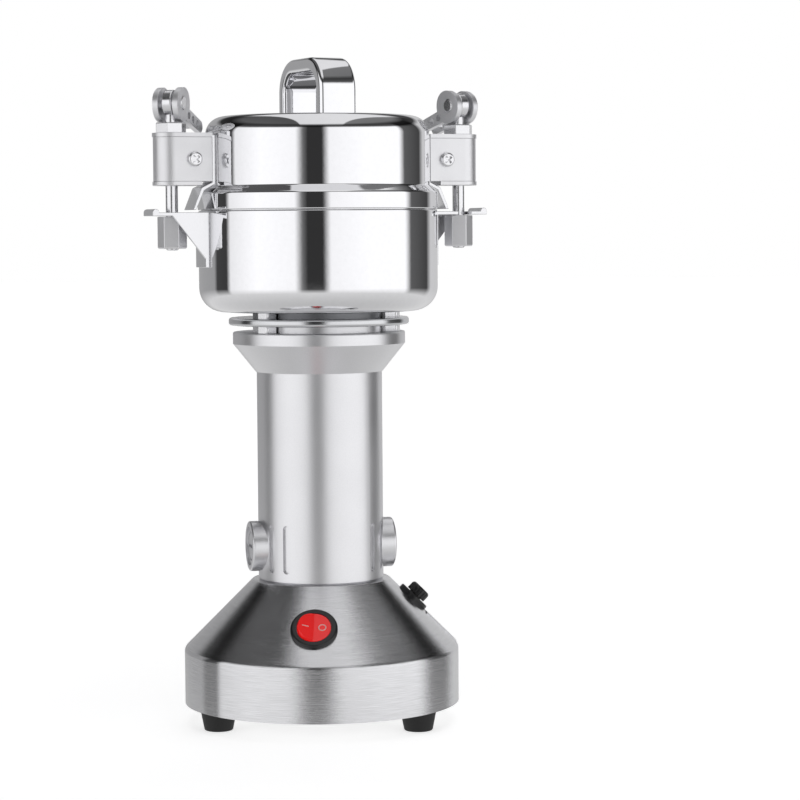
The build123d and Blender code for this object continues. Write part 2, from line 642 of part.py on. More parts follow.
def lower_bearing_bracket():
    """Spoked plate on the barrel's lip with a pocket for the lower bearing."""
    high = BRACKET_LOW + BRACKET_PLATE
    plate = disc(BARREL_BORE - PART_GAP, BRACKET_LOW, high)
    for angle in spread(4, 45):
        window = extrude(SlotOverall(12, 7), 2 * BRACKET_PLATE)
        plate -= Rot(0, 0, angle) * Pos(BEARING_R + 8, 0, BRACKET_LOW - 1) * Rot(0, 0, 90) * window
    plate += disc(BEARING_R + 2.2, BRACKET_LOW, BEARING_LOW + BEARING_WIDTH)
    plate -= disc(BEARING_R, BEARING_LOW, BEARING_LOW + BEARING_WIDTH)
    return plate - disc(SHAFT_R + 2, BRACKET_LOW, BEARING_LOW)


def cooling_fan():
    """Radial fan on the shaft above the armature."""
    low = FAN_HIGH - FAN_HEIGHT
    outer = BARREL_BORE - FAN_EDGE_GAP
    fan = disc(outer, low, low + 1.5) + disc(SHAFT_R + 4, low, FAN_HIGH)
    for angle in spread(FAN_BLADES):
        blade = block(outer - SHAFT_R - 5, 1.2, low, FAN_HIGH)
        fan += Rot(0, 0, angle) * Pos((outer + SHAFT_R + 2) / 2, 0, 0) * blade
    return (fan & disc(outer, low, FAN_HIGH)) - disc(SHAFT_R, low, FAN_HIGH)


# ---------------------------------------------------------------- upper housing
def upper_housing():
    """Flared casting: spigot in the barrel, cone, band, bearing pocket and hub."""
    shoulder_r = BARREL_R + 0.5
    inner_top = FLARE_SHOULDER + 0.6
    pocket_low = UPPER_BEARING_HIGH - BEARING_WIDTH
    rise_r = FLARE_R - FLARE_WALL - 1.0
    body = lathe([
        (BEARING_R + 3, pocket_low), (BEARING_R + 3, inner_top), (rise_r, inner_top),
        (BARREL_BORE - PART_GAP + 0.8, BARREL_TOP + 1.6), (BARREL_BORE - 3, BARREL_TOP),
        (BARREL_BORE - 3, BARREL_TOP - SPIGOT_LENGTH), (BARREL_BORE - PART_GAP, BARREL_TOP - SPIGOT_LENGTH),
        (BARREL_BORE - PART_GAP, BARREL_TOP), (shoulder_r, BARREL_TOP), (FLARE_R, FLARE_SHOULDER),
        (FLARE_R, FLARE_TOP), (HUB_R, FLARE_TOP), (HUB_R, DISC_LOW), (SHAFT_R + 1, DISC_LOW),
        (SHAFT_R + 1, UPPER_BEARING_HIGH), (BEARING_R, UPPER_BEARING_HIGH), (BEARING_R, pocket_low)])
    body = fillet(body.edges().filter_by(GeomType.CIRCLE).filter_by(
        lambda e: abs(e.radius - FLARE_R) < 0.01 and e.center().Z > FLARE_TOP - 0.1), 0.8)
    for cut in around(disc(POST_SCREW_R, FLARE_TOP - 4, FLARE_TOP), POST_R, POST_ANGLES):
        body -= cut
    screw_hole = disc(HOUSING_SCREW_R + PANEL_GAP, BARREL_TOP, DISC_LOW)
    screw_hole += disc(2.9, FLARE_TOP - 2, DISC_LOW)
    for cut in around(screw_hole, BARREL_R - BARREL_WALL / 2, spread(4, 45)):
        body -= cut
    return body


def housing_screws():
    """Four long screws that tie the upper housing to the barrel."""
    screw = disc(HOUSING_SCREW_R, BARREL_TOP - 9, FLARE_TOP - 1) + disc(2.7, FLARE_TOP - 2, FLARE_TOP)
    return Part() + around(screw, BARREL_R - BARREL_WALL / 2, spread(4, 45))


def spacer_disc():
    """Bright plate between the housing and the bowl."""
    plate = disc(DISC_R, DISC_LOW, DISC_TOP)
    plate = fillet(plate.edges(), 1.2)
    for cut in around(disc(POST_SCREW_R + PANEL_GAP, DISC_LOW, DISC_TOP), POST_R, POST_ANGLES):
        plate -= cut
    return plate - disc(SHAFT_R + 1, DISC_LOW, DISC_TOP)


def bowl_spacer_ring():
    """Flat ring under the bowl, inside the posts."""
    return tube(SEAL_R + 1.5, HUB_R, DISC_TOP, BOWL_LOW)


def spacer_posts():
    """Square blocks in both gaps, bored for the bowl screws."""
    lower = block(POST_SIZE, POST_SIZE, FLARE_TOP, DISC_LOW)
    upper = block(POST_SIZE, POST_SIZE, DISC_TOP, BOWL_LOW)
    posts = Part()
    for piece in (lower, upper):
        rounded = fillet(piece.edges().filter_by(Axis.Z), 1.0) - disc(POST_SCREW_R, FLARE_TOP, BOWL_LOW)
        posts += around(rounded, POST_R, POST_ANGLES)
    return posts


def post_screws():
    """Screws from inside the bowl down into the upper housing."""
    inside = BOWL_LOW + BOWL_SHEET
    screw = disc(POST_SCREW_R, FLARE_TOP - 4, inside) + disc(POST_SCREW_HEAD_R, inside, inside + HEAD_HEIGHT)
    screw = fillet(screw.edges().group_by(Axis.Z)[-1], 0.8)
    screw -= block(0.9, 4.4, inside + 1, inside + HEAD_HEIGHT)
    screw -= block(4.4, 0.9, inside + 1, inside + HEAD_HEIGHT)
    return Part() + around(screw, POST_R, POST_ANGLES)


# ---------------------------------------------------------------- bowl
def grinding_bowl():
    """Pressed bowl with a spigot ring inside its rim and holes for shaft and screws."""
    outer = turned([(0, BOWL_LOW), (BOWL_R, BOWL_LOW), (BOWL_R, BOWL_RIM), (0, BOWL_RIM)], [BOWL_CORNER_R, 0])
    inner_r = BOWL_R - BOWL_SHEET
    floor = BOWL_LOW + BOWL_SHEET
    corner = BOWL_CORNER_R - BOWL_SHEET
    inner = turned([(0, floor), (inner_r, floor), (inner_r, BOWL_RIM + 1), (0, BOWL_RIM + 1)], [corner, 0])
    bowl = outer - inner
    spigot_r = inner_r - SPIGOT_RING_WALL
    bowl += tube(spigot_r, inner_r, BOWL_RIM - SPIGOT_RING_HEIGHT, BOWL_RIM + SPIGOT_RING_HEIGHT)
    bowl -= disc(SEAL_R, BOWL_LOW - 1, floor + 1)
    for cut in around(disc(POST_SCREW_R + PANEL_GAP, BOWL_LOW, floor), POST_R, POST_ANGLES):
        bowl -= cut
    return bowl


def shaft_seal():
    """Flanged seal around the shaft in the floor of the bowl."""
    floor = BOWL_LOW + BOWL_SHEET
    seal = disc(SEAL_R, DISC_TOP, floor) + disc(SEAL_R + 3, floor, floor + 1.4)
    seal = fillet(seal.edges().group_by(Axis.Z)[-1], 0.6)
    return seal - disc(SHAFT_R + SHAFT_FIT, DISC_TOP, floor + 2)


def fork_brackets():
    """Strips on the bowl wall, each with a plate slotted for the bolt and one cheek."""
    strip_low = FORK_LOW - FORK_STRIP_HEIGHT + FORK_PLATE
    reach = BOLT_OFFSET + FORK_REACH
    strip = tube(BOWL_R, BOWL_R + FORK_STRIP_SHEET, strip_low, FORK_TOP)
    strip &= Pos(BOWL_R, 0, 0) * block(20, FORK_WIDTH, strip_low, FORK_TOP)
    plate = Pos(BOWL_R + reach / 2 - 2, 0, 0) * block(reach + 4, FORK_WIDTH, FORK_LOW, FORK_TOP)
    plate -= disc(BOWL_R, FORK_LOW, FORK_TOP)
    lip = Pos(BOWL_R + reach - FORK_LIP_R, 0, FORK_TOP) * Rot(90, 0, 0) * Cylinder(FORK_LIP_R, FORK_WIDTH)
    slot_r = BOLT_R + FORK_SLOT_GAP
    slot = Pos(CLAMP_R, 0, 0) * disc(slot_r, FORK_LOW, FORK_TOP)
    mouth = Pos(CLAMP_R, -FORK_WIDTH / 2, 0) * block(2 * slot_r, FORK_WIDTH, FORK_LOW, FORK_TOP)
    root_x = BOWL_R + FORK_STRIP_SHEET / 2
    cheek_line = Polyline((root_x, 0, FORK_LOW), (CLAMP_R + FORK_CHEEK_PAST_BOLT, 0, FORK_LOW),
                          (root_x, 0, strip_low + 4), close=True)
    cheek = extrude(make_face(cheek_line), FORK_STRIP_SHEET, dir=(0, -1, 0))
    cheek = Pos(0, FORK_WIDTH / 2, 0) * cheek
    fork = strip + plate + lip - slot - mouth + cheek
    fork -= disc(BOWL_R, strip_low, FORK_TOP + 1)
    return Part() + [Rot(0, 0, angle) * fork for angle in CLAMP_ANGLES.values()]


# ---------------------------------------------------------------- blades
def blade(length, tip_sign):
    """Flat two-armed blade with bent, sharpened tips; its lower face is at height 0."""
    flat = length - 2 * BLADE_TIP_LENGTH
    bar = block(flat, BLADE_WIDTH, 0, BLADE_THICKNESS)
    bar += disc(BLADE_WIDTH / 2 + 1.5, 0, BLADE_THICKNESS)
    for side in (0, 180):
        tip = Pos(BLADE_TIP_LENGTH / 2 - 0.4, 0, 0) * block(BLADE_TIP_LENGTH, BLADE_WIDTH, 0, BLADE_THICKNESS)
        tip = chamfer(tip.edges().filter_by(Axis.X).group_by(Axis.Z)[-1][-1], BLADE_THICKNESS * 0.8)
        bar += Rot(0, 0, side) * Pos(flat / 2, 0, 0) * Rot(0, -tip_sign * BLADE_TIP_ANGLE, 0) * tip
    return bar - disc(SHAFT_R, -1, BLADE_THICKNESS + 1)


LOWER_BLADE_Z = BOWL_LOW + BOWL_SHEET + LOWER_BLADE_CLEARANCE
UPPER_BLADE_Z = LOWER_BLADE_Z + BLADE_THICKNESS + BLADE_SPACING
BLADE_STACK_TOP = UPPER_BLADE_Z + BLADE_THICKNESS


def lower_blade():
    """Long blade close to the floor of the bowl, tips turned up."""
    return Pos(0, 0, LOWER_BLADE_Z) * blade(LOWER_BLADE_LENGTH, 1)


def upper_blade():
    """Shorter blade across the lower one, tips turned up."""
    return Pos(0, 0, UPPER_BLADE_Z) * Rot(0, 0, 90) * blade(UPPER_BLADE_LENGTH, 1)


def blade_spacers():
    """Sleeves below and between the blades."""
    seat = BOWL_LOW + BOWL_SHEET + 1.4 + 0.3
    lower = tube(SHAFT_R, SPACER_R, seat, LOWER_BLADE_Z)
    upper = tube(SHAFT_R, SPACER_R, LOWER_BLADE_Z + BLADE_THICKNESS, UPPER_BLADE_Z)
    return Part() + [lower, upper]


def blade_nut():
    """Domed nut and washer that clamp the blades on the shaft."""
    washer = tube(SHAFT_R, SPACER_R + 1, BLADE_STACK_TOP, BLADE_STACK_TOP + 1.5)
    low = BLADE_STACK_TOP + 1.5
    nut = hexagon(13.0, low, low + 6.5)
    dome = Pos(0, 0, low + 6.5) * Sphere(5.8) & disc(6, low + 6.4, low + 14)
    nut += dome
    return washer + nut - disc(SHAFT_R, low - 2, low + 7)


def motor_shaft():
    """Steel shaft from the lower bearing to the nut above the blades."""
    high = BLADE_STACK_TOP + 1.5 + 6.9
    return chamfer(disc(SHAFT_R, BEARING_LOW + 0.2, high).edges(), 0.5)


# ---------------------------------------------------------------- lid
def lid_volume(inset, low):
    """Space inside the lid, its walls moved inwards by the inset."""
    wall = LID_WALL_R - inset
    flange = LID_FLANGE_R - inset
    top = LID_TOP - inset
    shoulder = LID_SHOULDER - inset * 0.4
    points = [(0, low), (flange, low), (flange, shoulder), (wall, shoulder + LID_STEP_RISE), (wall, top), (0, top)]
    body = turned(points, [0, 1.5, 1.2, LID_CORNER_R - inset])
    cap_r = wall - LID_CORNER_R + inset
    ball_r = (cap_r ** 2 + LID_DOME ** 2) / (2 * LID_DOME)
    dome = Pos(0, 0, top + LID_DOME - ball_r) * Sphere(ball_r) & disc(cap_r, top - 0.5, top + 2)
    return body + dome


def lid_shell():
    """Pressed lid with a flange that drops over the spigot ring of the bowl."""
    lid = lid_volume(0, SEAM) - lid_volume(LID_SHEET, SEAM - 1)
    for side in (1, -1):
        place = Rot(0, 0, HANDLE_ANGLE) * Pos(side * HANDLE_SPAN / 2, 0, 0)
        lid -= place * disc(HANDLE_SCREW_R + PANEL_GAP, LID_TOP - 3, LID_TOP + 3)
    return lid


def lid_handle():
    """Strap bent into an arch, its feet shaped to the lid."""
    half = HANDLE_SPAN / 2
    grow = HANDLE_THICKNESS / 2
    top = LID_TOP + HANDLE_RISE
    low = LID_TOP - 1
    outer_line = FilletPolyline((-half - grow, 0, low), (-half - grow, 0, top), (half + grow, 0, top),
                                (half + grow, 0, low), radius=[HANDLE_BEND_R] * 2)
    inner_line = FilletPolyline((-half + grow, 0, low), (-half + grow, 0, top - 2 * grow),
                                (half - grow, 0, top - 2 * grow), (half - grow, 0, low),
                                radius=[HANDLE_BEND_R - 2 * grow] * 2)
    outer = make_face([outer_line, Line(outer_line @ 1, outer_line @ 0)])
    inner = make_face([inner_line, Line(inner_line @ 1, inner_line @ 0)])
    strap = extrude(outer, HANDLE_WIDTH, dir=(0, -1, 0)) - extrude(inner, HANDLE_WIDTH, dir=(0, -1, 0))
    rims = [e for e in strap.edges() if abs(e.center().Y) < 1e-6 or abs(e.center().Y + HANDLE_WIDTH) < 1e-6]
    rims = [e for e in rims if e.center().Z > low + 0.1]
    strap = Pos(0, HANDLE_WIDTH / 2, 0) * fillet(rims, HANDLE_EDGE_R)
    strap = Rot(0, 0, HANDLE_ANGLE) * strap
    for side in (1, -1):
        place = Rot(0, 0, HANDLE_ANGLE) * Pos(side * half, 0, 0)
        strap -= place * disc(HANDLE_SCREW_R, LID_TOP - 3, LID_TOP + 9)
    return strap - lid_volume(0, SEAM)


def handle_screws():
    """Screws from inside the lid up into the feet of the handle."""
    under = LID_TOP - LID_SHEET - 0.1
    screw = disc(HANDLE_SCREW_R, under, LID_TOP + 8.5) + disc(3.5, under - 2.4, under)
    screw -= block(4.4, 0.9, under - 2.4, under - 1.2) + block(0.9, 4.4, under - 2.4, under - 1.2)
    return Part() + around(screw, HANDLE_SPAN / 2, (HANDLE_ANGLE, HANDLE_ANGLE + 180))


def lid_seal():
    """Silicone ring in the shoulder of the lid, above the spigot ring."""
    low = BOWL_RIM + SPIGOT_RING_HEIGHT + 0.3
    high = LID_SHOULDER - 0.9
    outer = LID_FLANGE_R - LID_SHEET - PART_GAP
    return tube(outer - 3.4, outer, low, high)


# ---------------------------------------------------------------- clamps
def stadium(nose_r, low, high, inner_r):
    """Rounded bar from a radius out to the bolt axis, with a round nose about the bolt."""
    bar = Pos(CLAMP_R, 0, 0) * disc(nose_r, low, high)
    length = CLAMP_R - inner_r + 6
    bar += Pos(CLAMP_R - length / 2, 0, 0) * block(length, 2 * nose_r, low, high)
    return bar - disc(inner_r, low - 1, high + 1)


def both_sides(shape):
    """The same piece at the two clamps."""
    return Part() + [Rot(0, 0, angle) * shape for angle in CLAMP_ANGLES.values()]


def lid_brackets():
    """Strips on the lid wall that flare out over the flange, down to the seam."""
    high = CLAMP_HIGH - 1
    step = LID_SHOULDER + LID_STEP_RISE + 1.1
    knee = LID_FLANGE_R + 1.6
    foot = LID_FLANGE_R + BRACKET_FLARE
    low = SEAM
    sheet = BRACKET_SHEET
    inner_r = LID_WALL_R + 0.05
    strip = lathe([
        (inner_r, high), (inner_r, step), (knee, LID_SHOULDER + 1.2), (foot - sheet, low), (foot, low),
        (knee + sheet - 0.2, LID_SHOULDER + 2.4), (inner_r + sheet, step + 0.8), (inner_r + sheet, high)])
    strip &= Pos(LID_WALL_R, 0, 0) * block(40, BRACKET_WIDTH, low, high)
    return both_sides(strip)


def clamp_block_shape():
    """Cast block of one clamp: core between two rims, bored for the bolt and two screws."""
    core_r = CLAMP_NOSE_R - CLAMP_RIM_PROUD - WRAP_SHEET - 0.05
    inner = BRACKET_OUTER_R + 0.1
    core = stadium(core_r, CLAMP_LOW + CLAMP_RIM, CLAMP_HIGH - CLAMP_RIM, inner)
    lower = stadium(CLAMP_NOSE_R, CLAMP_LOW, CLAMP_LOW + CLAMP_RIM, LID_FLANGE_R + 2.9)
    upper = stadium(CLAMP_NOSE_R, CLAMP_HIGH - CLAMP_RIM, CLAMP_HIGH, inner)
    lower = fillet(lower.edges().filter_by(GeomType.CIRCLE).group_by(Axis.Z)[0].filter_by(
        lambda e: abs(e.radius - CLAMP_NOSE_R) < 0.01), 0.4)
    body = core + lower + upper
    body -= Pos(CLAMP_R, 0, 0) * disc(BOLT_BORE_R, CLAMP_LOW, CLAMP_HIGH)
    middle = (CLAMP_LOW + CLAMP_HIGH) / 2
    hole = Pos(CLAMP_R - CLAMP_SCREW_INSET, 0, middle) * Rot(90, 0, 0) * Cylinder(1.75, 4 * CLAMP_NOSE_R)
    return body - hole


def clamp_blocks():
    """The cast blocks of both clamps."""
    return both_sides(clamp_block_shape())


def clamp_wraps():
    """Polished straps bent round the cast blocks."""
    low = CLAMP_LOW + CLAMP_RIM + 0.05
    high = CLAMP_HIGH - CLAMP_RIM - 0.05
    outer_r = CLAMP_NOSE_R - CLAMP_RIM_PROUD
    inner = BRACKET_OUTER_R + 0.1
    wrap = stadium(outer_r, low, high, inner) - stadium(outer_r - WRAP_SHEET, low, high, 0.5 * inner)
    middle = (CLAMP_LOW + CLAMP_HIGH) / 2
    hole = Pos(CLAMP_R - CLAMP_SCREW_INSET, 0, middle) * Rot(90, 0, 0) * Cylinder(1.95, 4 * CLAMP_NOSE_R)
    return both_sides(wrap - hole)


def clamp_screws():
    """Cross-head screws in the flat sides of the wraps."""
    face = CLAMP_NOSE_R - CLAMP_RIM_PROUD
    screw = disc(1.7, face - 6, face + 0.1) + disc(CLAMP_SCREW_R, face, face + HEAD_HEIGHT)
    screw = fillet(screw.edges().group_by(Axis.Z)[-1], 1.1)
    slot = block(4.4, 1.3, face + 0.5, face + HEAD_HEIGHT)
    screw -= slot + Rot(0, 0, 90) * slot
    middle = (CLAMP_LOW + CLAMP_HIGH) / 2
    screws = Part()
    for turn in (90, -90):
        placed = Pos(CLAMP_R - CLAMP_SCREW_INSET, 0, middle) * Rot(turn, 0, 0) * Rot(0, 0, 40) * screw
        screws += both_sides(placed)
    return screws


def thrust_blocks():
    """Hexagonal blocks between the clamps and the cams."""
    body = hexagon(THRUST_FLATS, CLAMP_HIGH, THRUST_TOP)
    body = chamfer(body.edges().group_by(Axis.Z)[-1], 0.4)
    body -= disc(BOLT_BORE_R, CLAMP_HIGH, THRUST_TOP)
    return both_sides(Pos(CLAMP_R, 0, 0) * body)


def at_pin(side, shape):
    """Place a lever-frame shape: +X along the arm, +Y along the pin, at the pin of one clamp."""
    centre = Rot(0, 0, CLAMP_ANGLES[side]) * Pos(CLAMP_R, 0, PIN_Z)
    turn = LEVER_ANGLES[side] - CLAMP_ANGLES[side]
    return centre * Rot(0, 0, turn) * shape


def plate_across(face, thickness, middle=0.0):
    """Plate from a face drawn in the lever's XZ plane, centred at a place along the pin."""
    return Pos(0, middle + thickness / 2, 0) * extrude(face, thickness, dir=(0, -1, 0))


def cam_face():
    """Cam outline: the radius falls evenly over the turn of the lever, then eases back."""
    points = []
    for degrees in range(0, 360, 10):
        if degrees <= CAM_TURN:
            radius = CAM_R - CAM_DROP * degrees / CAM_TURN
        else:
            back = min(1.0, (degrees - CAM_TURN) / 100.0)
            radius = CAM_R - CAM_DROP * (1 - back * back * (3 - 2 * back))
        angle = math.radians(degrees)
        points.append((-radius * math.sin(angle), 0, -radius * math.cos(angle)))
    return make_face(Spline(*points, periodic=True))


def arm_face(drop=0.0):
    """Tapered arm outline, round at both ends, lowered by the drop."""
    ends = []
    for (x, z), radius in ((ARM_ROOT, ARM_ROOT_R), (ARM_TIP, ARM_TIP_R)):
        ends += (Pos(x, z - drop) * Circle(radius)).edges()
    return Rot(90, 0, 0) * make_hull(ends)


def cam_lever(side):
    """Channel-shaped lever: two cams and arms joined by a web, with round holes."""
    lever = Part()
    offset = (EAR_GAP + EAR_THICKNESS) / 2
    for middle in (offset, -offset):
        lever += plate_across(cam_face(), EAR_THICKNESS, middle)
        lever += plate_across(arm_face(), EAR_THICKNESS, middle)
    web = plate_across(arm_face(), EAR_GAP + 0.2) - plate_across(arm_face(WEB_THICKNESS), EAR_GAP + 0.4)
    web -= Rot(90, 0, 0) * Cylinder(CAM_R + 0.1, 2 * EAR_GAP)
    web -= Pos(-CAM_R, 0, 0) * Box(2 * CAM_R, 4 * EAR_GAP, 4 * CAM_R)
    keep = [piece for piece in web.solids() if piece.center().X > EYE_R]
    lever += max(keep, key=lambda piece: piece.volume)
    lever -= Rot(90, 0, 0) * Cylinder(PIN_R + PIN_FIT, 4 * EAR_GAP)
    run = math.hypot(ARM_TIP[0] - ARM_ROOT[0], ARM_TIP[1] - ARM_ROOT[1])
    for hole in range(3):
        along = (ARM_HOLE_START + hole * ARM_HOLE_PITCH) / run
        x = ARM_ROOT[0] + along * (ARM_TIP[0] - ARM_ROOT[0])
        z = ARM_ROOT[1] + along * (ARM_TIP[1] - ARM_ROOT[1])
        lever -= Pos(x, 0, z) * Rot(90, 0, 0) * Cylinder(ARM_HOLE_R, 4 * EAR_GAP)
    return at_pin(side, lever)


def eye_bolt(side):
    """Bolt with an eye around the pin and a plain shank down through the clamp."""
    eye = Rot(90, 0, 0) * Cylinder(EYE_R, EYE_THICKNESS)
    eye = fillet(eye.edges().filter_by(GeomType.CIRCLE), 0.8)
    shank_low = NUT_LOW - 0.8 - PIN_Z
    shank = disc(BOLT_R, shank_low, -EYE_R / 2)
    bolt = eye + chamfer(shank.edges().group_by(Axis.Z)[0], 0.5)
    bolt -= Rot(90, 0, 0) * Cylinder(PIN_R, 2 * EYE_THICKNESS)
    return at_pin(side, bolt)


def lever_pin(side):
    """Pin through the eye and both cams, with domed ends."""
    length = EAR_GAP + 2 * EAR_THICKNESS + 0.8
    pin = Rot(90, 0, 0) * Cylinder(PIN_R, length)
    return at_pin(side, fillet(pin.edges().filter_by(GeomType.CIRCLE), 0.7))


def clamp_nut(side):
    """Long hexagonal nut below the fork plate."""
    nut = hexagon(NUT_FLATS, NUT_LOW, NUT_HIGH)
    nut = chamfer(nut.edges().group_by(Axis.Z)[0], 0.5)
    nut -= disc(BOLT_BORE_R, NUT_LOW, NUT_HIGH)
    turn = NUT_FACE_ANGLE - CLAMP_ANGLES[side] + 30
    return Rot(0, 0, CLAMP_ANGLES[side]) * Pos(CLAMP_R, 0, 0) * Rot(0, 0, turn) * nut


PARTS = {
    "base_skirt": base_skirt, "base_plate": base_plate, "rubber_feet": rubber_feet, "base_screws": base_screws,
    "switch_bezel": switch_bezel, "switch_terminals": switch_terminals, "rocker": rocker,
    "fuse_holder_body": fuse_holder_body, "fuse_carrier": fuse_carrier, "glass_fuse": glass_fuse,
    "fuse_cap": fuse_cap, "panel_nuts": panel_nuts, "cord_gland": cord_gland, "rating_plate": rating_plate,
    "motor_barrel": motor_barrel, "brush_caps": brush_caps, "brush_holders": brush_holders,
    "carbon_brushes": carbon_brushes, "brush_springs": brush_springs, "stator_core": stator_core,
    "field_coils": field_coils, "armature_core": armature_core, "armature_windings": armature_windings,
    "commutator": commutator, "shaft_bearings": shaft_bearings, "lower_bearing_bracket": lower_bearing_bracket,
    "cooling_fan": cooling_fan, "motor_shaft": motor_shaft, "upper_housing": upper_housing,
    "housing_screws": housing_screws, "spacer_disc": spacer_disc, "bowl_spacer_ring": bowl_spacer_ring,
    "spacer_posts": spacer_posts, "post_screws": post_screws, "grinding_bowl": grinding_bowl,
    "shaft_seal": shaft_seal, "fork_brackets": fork_brackets, "lower_blade": lower_blade,
    "upper_blade": upper_blade, "blade_spacers": blade_spacers, "blade_nut": blade_nut, "lid_shell": lid_shell,
    "lid_handle": lid_handle, "handle_screws": handle_screws, "lid_seal": lid_seal, "lid_brackets": lid_brackets,
    "clamp_blocks": clamp_blocks, "clamp_wraps": clamp_wraps, "clamp_screws": clamp_screws,
    "thrust_blocks": thrust_blocks,
}
SIDED_PARTS = {"eye_bolt": eye_bolt, "lever_pin": lever_pin, "cam_lever": cam_lever, "clamp_nut": clamp_nut}

for node, make in PARTS.items():
    export_step(make(), f"parts/{node}.step")
for name, make in SIDED_PARTS.items():
    for side in CLAMP_ANGLES:
        export_step(make(side), f"parts/{side}_{name}.step")
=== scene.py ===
"""Looks of an upright swing-type grain grinder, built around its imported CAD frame."""
import json
import logging
import math
from dataclasses import dataclass, field
from enum import Enum

import bmesh
import bpy
import numpy as np
from mathutils import Matrix, Vector

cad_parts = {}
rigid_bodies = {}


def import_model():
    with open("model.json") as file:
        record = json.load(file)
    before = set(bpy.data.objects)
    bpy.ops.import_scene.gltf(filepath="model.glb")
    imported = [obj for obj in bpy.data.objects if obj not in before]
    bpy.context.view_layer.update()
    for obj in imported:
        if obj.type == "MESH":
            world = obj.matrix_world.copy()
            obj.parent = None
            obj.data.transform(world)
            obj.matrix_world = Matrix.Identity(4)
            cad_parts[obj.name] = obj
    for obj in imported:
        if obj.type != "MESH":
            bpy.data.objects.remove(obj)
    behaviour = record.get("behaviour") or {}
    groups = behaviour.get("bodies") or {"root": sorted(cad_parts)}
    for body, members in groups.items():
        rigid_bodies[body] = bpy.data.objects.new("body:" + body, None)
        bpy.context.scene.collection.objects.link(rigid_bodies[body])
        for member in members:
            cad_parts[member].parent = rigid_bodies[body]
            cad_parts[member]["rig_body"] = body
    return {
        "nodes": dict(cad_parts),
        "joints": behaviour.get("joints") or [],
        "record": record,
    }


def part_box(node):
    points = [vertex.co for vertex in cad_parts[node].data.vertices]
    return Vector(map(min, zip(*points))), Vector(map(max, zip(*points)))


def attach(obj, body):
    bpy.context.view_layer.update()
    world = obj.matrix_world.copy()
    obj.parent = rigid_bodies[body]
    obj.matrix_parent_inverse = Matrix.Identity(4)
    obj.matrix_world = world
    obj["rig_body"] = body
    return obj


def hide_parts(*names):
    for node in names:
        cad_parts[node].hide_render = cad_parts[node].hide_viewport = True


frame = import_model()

LOG = logging.getLogger("grinder")
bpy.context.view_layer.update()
MM = 0.001
# The highlight of a part brushed around its axis stretches square to the marks.
QUARTER_TURN = 0.25
# How fast a line runs out along its own direction, against its spacing.
LINE_DRAW = 0.0015
# Size of the handling marks, as waves in a metre.
SMUDGE_WAVES = 45.0
# How far the grain of a moulding changes its colour and its gloss.
GRAIN_TINT = 0.12
GRAIN_GLOSS = 0.06


# ---------------------------------------------------------------- colour and nodes
def linear(code: str) -> tuple[float, float, float, float]:
    """Turn an sRGB hex colour into linear RGBA.

    Args:
        code: six hex digits with a leading hash.

    Returns:
        Linear red, green and blue with full alpha.
    """
    values = [int(code[i : i + 2], 16) / 255 for i in (1, 3, 5)]
    flat = [v / 12.92 if v <= 0.04045 else ((v + 0.055) / 1.055) ** 2.4 for v in values]
    return (*flat, 1.0)


def add(tree: bpy.types.NodeTree, kind: str, settings: dict | None = None,
        inputs: dict | None = None) -> bpy.types.Node:
    """Add a node, set its properties and sockets, and link what is given as a socket.

    Args:
        tree: the node tree that gets the node.
        kind: the node's type name.
        settings: property names and values.
        inputs: socket names or numbers, with a value or an output socket.

    Returns:
        The new node.
    """
    node = tree.nodes.new(kind)
    for name, value in (settings or {}).items():
        setattr(node, name, value)
    for name, value in (inputs or {}).items():
        if isinstance(value, bpy.types.NodeSocket):
            tree.links.new(value, node.inputs[name])
        else:
            node.inputs[name].default_value = value
    return node


def ramp(tree: bpy.types.NodeTree, value: bpy.types.NodeSocket,
         stops: list[tuple[float, tuple]]) -> bpy.types.NodeSocket:
    """Map a value through a colour ramp.

    Args:
        tree: the node tree.
        value: the socket that drives the ramp.
        stops: positions from 0 to 1 with linear RGBA colours.

    Returns:
        The ramp's colour socket.
    """
    node = add(tree, "ShaderNodeValToRGB", inputs={"Fac": value})
    elements = node.color_ramp.elements
    while len(elements) > 1:
        elements.remove(elements[-1])
    elements[0].position, elements[0].color = stops[0]
    for position, colour in stops[1:]:
        elements.new(position).color = colour
    return node.outputs["Color"]


class Brush(Enum):
    """Direction of the marks that a finishing wheel leaves."""

    NONE = "none"
    AROUND = "around"


